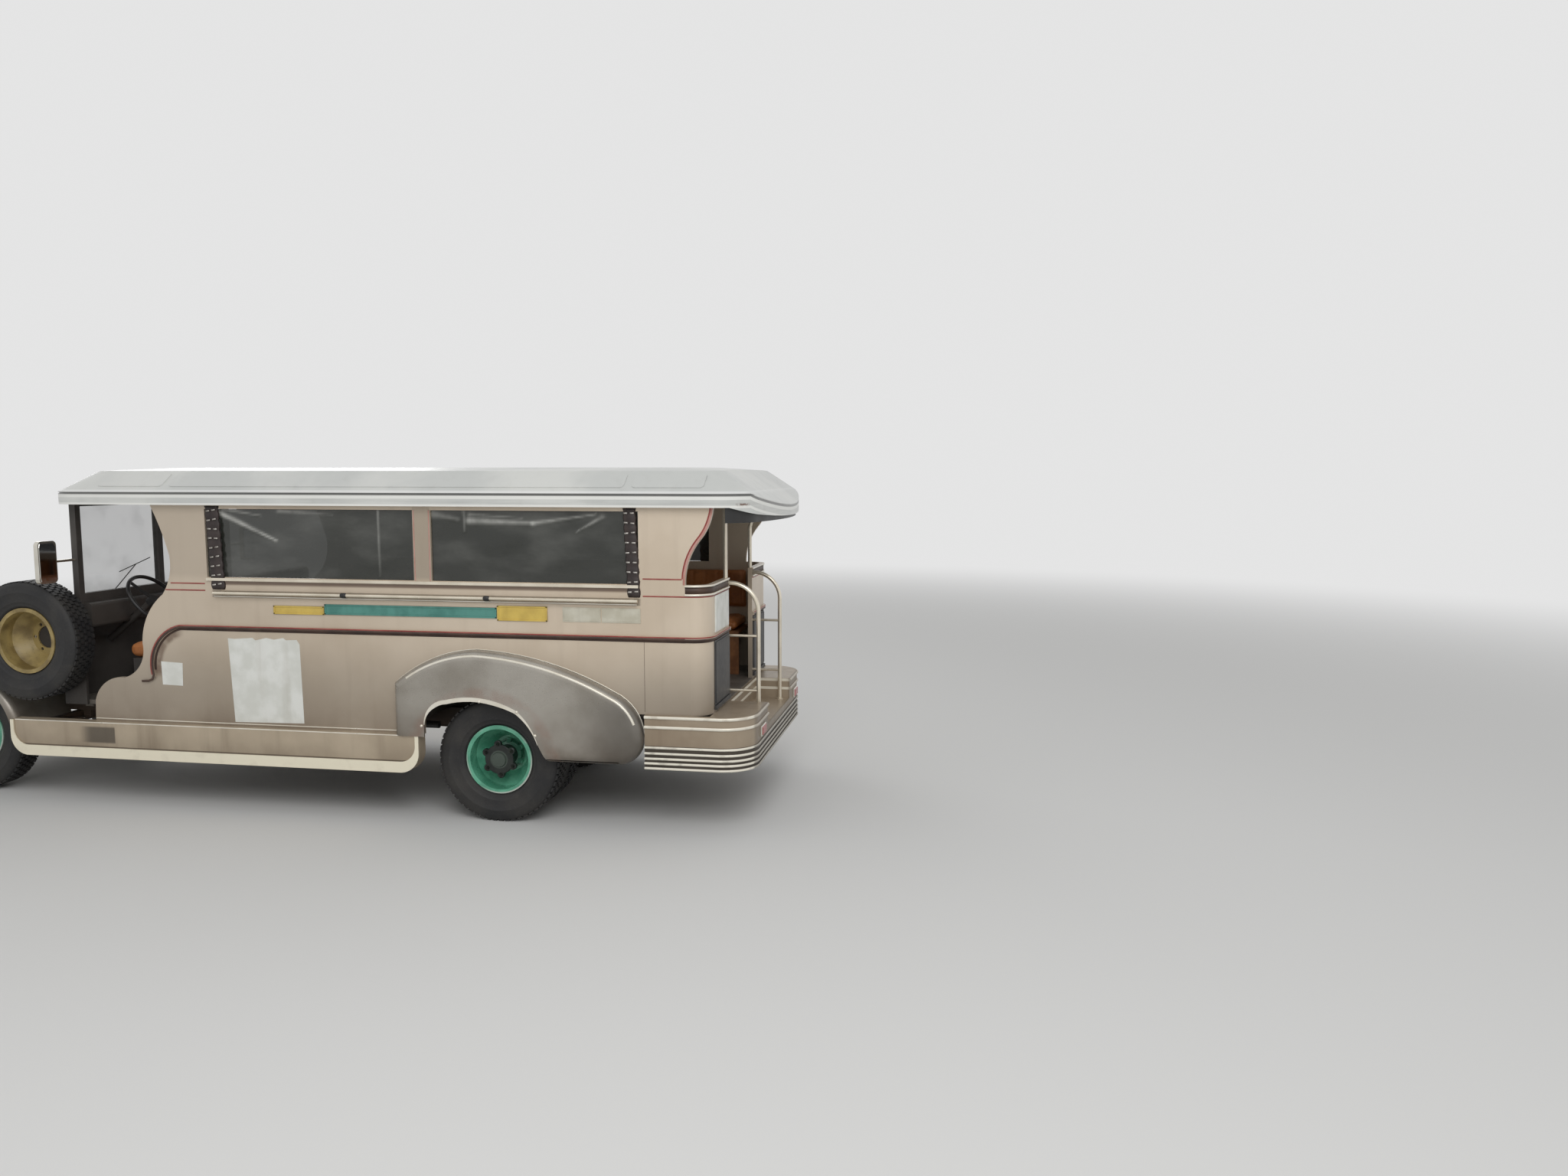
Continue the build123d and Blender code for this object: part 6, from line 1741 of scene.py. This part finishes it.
@dataclass
class Seating:
    """Bench and cab cushions in buttoned-down channels."""

    voxel: float = 0.018
    frames: int = 20
    cap: float = 0.014
    channel: float = 0.095
    seam_half: float = 0.010
    seam_depth: float = 0.010
    seam_reach: float = 0.045
    edge_r: float = 0.026
    pressure: float = 4.0
    bench_rear: float = -1.275
    bench_front: float = 2.150
    segments: int = 4

    def swell(self, made: bpy.types.Object) -> None:
        """Puffs a closed pad up with the cloth solver and keeps its result.

        Args:
            made: The pad.
        """
        bpy.context.view_layer.objects.active = made
        remesh = made.modifiers.new("remesh", "REMESH")
        remesh.mode, remesh.voxel_size = "VOXEL", self.voxel
        keep_shape(made)
        rest = [point.co.copy() for point in made.data.vertices]
        cloth = made.modifiers.new("cloth", "CLOTH")
        cloth.settings.use_pressure = True
        cloth.settings.uniform_pressure_force = self.pressure
        cloth.settings.effector_weights.gravity = 0.0
        cloth.point_cache.frame_end = self.frames
        for step in range(1, self.frames + 1):
            bpy.context.scene.frame_set(step)
        puffed = settled(made)
        for point, old in zip(puffed.vertices, rest):
            move = point.co - old
            if move.length > self.cap:
                point.co = old + move * (self.cap / move.length)
        made.modifiers.clear()
        made.data = puffed
        bpy.context.scene.frame_set(1)

    def channels(self, made: bpy.types.Object, axis: int, start: float, face: int, sign: float,
                 rim: float) -> None:
        """Sews channels across a pad and smooths it once.

        Args:
            made: The pad.
            axis: Axis that the channels are spaced along.
            start: Where the first one is.
            face: Axis of the face that they are sewn into.
            sign: Which way that face points.
            rim: Place of that face.
        """
        fine = made.modifiers.new("fine", "SUBSURF")
        fine.levels = fine.render_levels = 1
        keep_shape(made)
        for point in made.data.vertices:
            phase = abs(((point.co[axis] - start) / self.channel + 0.5) % 1.0 - 0.5) * self.channel
            depth = math.exp(-(phase / self.seam_half) ** 2) * self.seam_depth
            near = max(0.0, 1 - abs(point.co[face] - rim) / self.seam_reach)
            point.co[face] -= sign * depth * near
        made.data.shade_smooth()

    def pad(self, name: str, low: Point, high: Point, axis: int, face: int, sign: float) -> bpy.types.Object:
        """One cushion in its space.

        Args:
            name: Its name.
            low: Lowest corner of its space.
            high: Highest corner of its space.
            axis: Axis that its channels are spaced along.
            face: Axis of the face that shows.
            sign: Which way that face points.

        Returns:
            The cushion, not yet riding on a body.
        """
        insets = (0.004, self.cap * 0.8, self.cap * 0.8)
        near = (low[0] + insets[0], low[1] + insets[1], low[2] + insets[2])
        far = (high[0] - insets[0], high[1] - insets[1], high[2] - insets[2])
        stock = Stock()
        stock.block(near, far)
        made = stock.mesh(name)
        edge = made.modifiers.new("edges", "BEVEL")
        edge.width, edge.segments = self.edge_r, 3
        keep_shape(made)
        self.swell(made)
        rim = far[face] if sign > 0 else near[face]
        self.channels(made, axis, low[axis] + self.channel / 2, face, sign, rim)
        for point in made.data.vertices:
            point.co = Vector([min(max(point.co[k], low[k] + 0.0005), high[k] - 0.0005) for k in range(3)])
        return made

    def run(self, name: str, first: bpy.types.Object, step: float) -> bpy.types.Object:
        """Copies one segment along the bench and joins them.

        Args:
            name: Name of the result.
            first: The rearmost segment, which is used up.
            step: Length of a segment.

        Returns:
            The whole pad.
        """
        parts = [first]
        for index in range(1, self.segments):
            data = first.data.copy()
            data.transform(Matrix.Translation((step * index, 0, 0)))
            parts.append(linked(f"{name}_{index}", data))
        return joined(name, parts)

    def cover(self, made: bpy.types.Object) -> None:
        """Covers a cushion and puts it in place of the plain ones.

        Args:
            made: The cushion.
        """
        finish_piece(made, Upholstery(), Body.CHASSIS)
        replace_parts(made, "seat_cushions")

    def build(self) -> None:
        """Makes all of it."""
        step = (self.bench_front - self.bench_rear) / self.segments
        for label, inner, outer, face, sign in (("bench_seat", (0.4905, 1.0705), (0.8995, 1.160), 2, 1.0),
                                                ("bench_back", (0.8405, 1.1805), (0.8995, 1.5195), 1, -1.0)):
            low = at(self.bench_rear, inner[0], inner[1])
            high = at(self.bench_rear + step, outer[0], outer[1])
            left = self.run(f"{label}_left", self.pad(f"{label}_one", low, high, 0, face, sign), step)
            data = left.data.copy()
            data.transform(Matrix.Scale(-1.0, 4, (0, 1, 0)))
            data.flip_normals()
            for made in (left, linked(f"{label}_right", data)):
                made.data.shade_smooth()
                self.cover(made)
        for label, low, high, face in (
            ("cab_seat", at(2.330, -0.7395, 0.9605), at(2.760, 0.7395, 1.070), 2),
            ("cab_back", at(2.2705, -0.7395, 1.0755), at(2.380, 0.7395, 1.500), 0),
        ):
            self.cover(self.pad(label, low, high, 1, face, 1.0))


@dataclass
class Fittings:
    """Lenses, mirror glasses, wipers, wires, clamps, the hook and the floor's ribs."""

    nose_front: float = 4.440
    lamp_y: float = 0.640
    lamp_z: float = 1.010
    screen_x: float = 3.035
    step_rear: float = -1.666
    rod_y: float = 0.964
    rod_z: float = 1.450
    wire_y: float = 0.958
    wire_z: float = 1.4285
    rib_half: float = 0.44
    rib_gap: float = 0.11
    hook_x: float = -1.277
    hook_z: float = 0.362
    hook_r: float = 0.022

    def lenses(self) -> None:
        """Sets the headlamp and tail lamp lenses."""
        stock = Stock()
        dome = ((0.012, 0.090), (0.021, 0.080), (0.030, 0.055), (0.0345, 0.028), (0.036, 0.004))
        for y in (self.lamp_y, -self.lamp_y):
            stock.rings(dome, 32, 0, at(self.nose_front + 0.060, y, self.lamp_z))
        stock.piece("headlamp_lenses", CLEAR_LENS, "lamp_bright", smooth=True)
        stock = Stock()
        rear = self.step_rear - 0.016
        stock.block(at(rear - 0.004, 0.568, 0.587), at(rear + 0.010, 0.692, 0.637))
        stock.mirrored().piece("tail_lenses", RED_LENS, "lamp_bright", 0.003)

    def mirrors(self) -> None:
        """Sets the glass into the rear face of each door mirror."""
        stock = Stock()
        x = self.screen_x + 0.0225 - 0.016
        corners = [(1.000, 1.515), (1.105, 1.515), (1.112, 1.540), (1.112, 1.740), (1.105, 1.765),
                   (1.000, 1.765), (0.980, 1.740), (0.980, 1.540)]
        stock.loft([[at(place, y, z) for y, z in corners] for place in (x - 0.003, x)])
        stock.mirrored().piece("mirror_glasses", MIRROR, "bright_trim")

    def wipers(self, moulding: Moulding) -> None:
        """Lays the wiper arms against the windscreen.

        Args:
            moulding: What lays them.
        """
        x = self.screen_x + 0.045
        paths = []
        for y in (0.420, -0.360):
            paths.append([at(x + 0.004, y, 1.402), at(x + 0.012, y - 0.05, 1.43),
                          at(x + 0.010, y - 0.22, 1.56)])
            paths.append([at(x + 0.004, y - 0.05, 1.52), at(x + 0.004, y - 0.36, 1.60)])
        moulding.lay("wipers", paths, 0.007, 0.007, BLACK_PLASTIC, "bright_trim", facing=(1.0, 0.0, 0.0),
                     tube=True)

    def side_wires(self, moulding: Moulding) -> None:
        """Stretches the thin wire below each side rod.

        Args:
            moulding: What lays it.
        """
        run = [at(x, self.wire_y, self.wire_z) for x in (-0.955, 0.4, 1.900)]
        moulding.lay("side_wires", both(run), 0.008, 0.008, CHROME, "bright_trim", tube=True)

    def clamps(self) -> None:
        """Puts the dark clamps on the side rods."""
        stock = Stock()
        sleeve = ((-0.020, 0.011), (-0.014, 0.016), (0.014, 0.016), (0.020, 0.011))
        for x in (0.983, 0.015):
            stock.rings(sleeve, 10, 0, at(x, self.rod_y, self.rod_z))
        stock.mirrored().piece("rod_clamps", BLACK_PLASTIC, "bright_trim", smooth=True)

    def hook(self, moulding: Moulding) -> None:
        """Hangs the tow hook under the valance.

        Args:
            moulding: What lays it.
        """
        turn = [at(self.hook_x + self.hook_r * math.sin(a), 0.700, self.hook_z - self.hook_r * math.cos(a))
                for a in [math.pi * 2 * k / 14 for k in range(-9, 4)]]
        path = [at(self.hook_x, 0.700, 0.415), *turn[-1:], *turn[::-1]]
        moulding.lay("tow_hook", [path], 0.010, 0.010, CHASSIS_PAINT, "chassis_black", tube=True)

    def ribs(self, row: Row) -> None:
        """Lays the ribs of the aisle floor.

        Args:
            row: What sets them out.
        """
        rib = Stock()
        section = [(-0.006, 0.0), (-0.003, 0.004), (0.003, 0.004), (0.006, 0.0)]
        rib.loft([[(across, y, z) for y, z in section] for across in (-self.rib_half, self.rib_half)])
        aisle = [at(x, 0.0, 0.7502) for x in (-1.20, 2.17)]
        row.lay("floor_ribs", [aisle], rib, self.rib_gap, FLOOR_PAINT, "floor_plate", facing=UP)

    def build(self, moulding: Moulding, row: Row) -> None:
        """Makes all of it.

        Args:
            moulding: What lays wipers, wires and the hook.
            row: What sets out the ribs.
        """
        self.lenses()
        self.mirrors()
        self.wipers(moulding)
        self.side_wires(moulding)
        self.clamps()
        self.hook(moulding)
        self.ribs(row)


def dress_nodes() -> None:
    """Gives every CAD node its finish."""
    for finish, names in CAD_FINISHES:
        for name in names.split():
            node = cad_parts[name]
            node.data.materials.clear()
            node.data.materials.append(finish.build())
            LOG.info("%s: %s", name, finish.name)


def main() -> None:
    """Builds the scene in order."""
    logging.basicConfig(level=logging.INFO, format="%(message)s")
    Studio().build()
    dress_nodes()
    moulding, row, ring = Moulding(), Row(), Ring()
    Coachwork().build(moulding)
    Curtains().build(row)
    Fenders().build(moulding, row)
    Wheels().build(ring)
    Seating().build()
    Fittings().build(moulding, row)


if __name__ == "__main__":
    main()
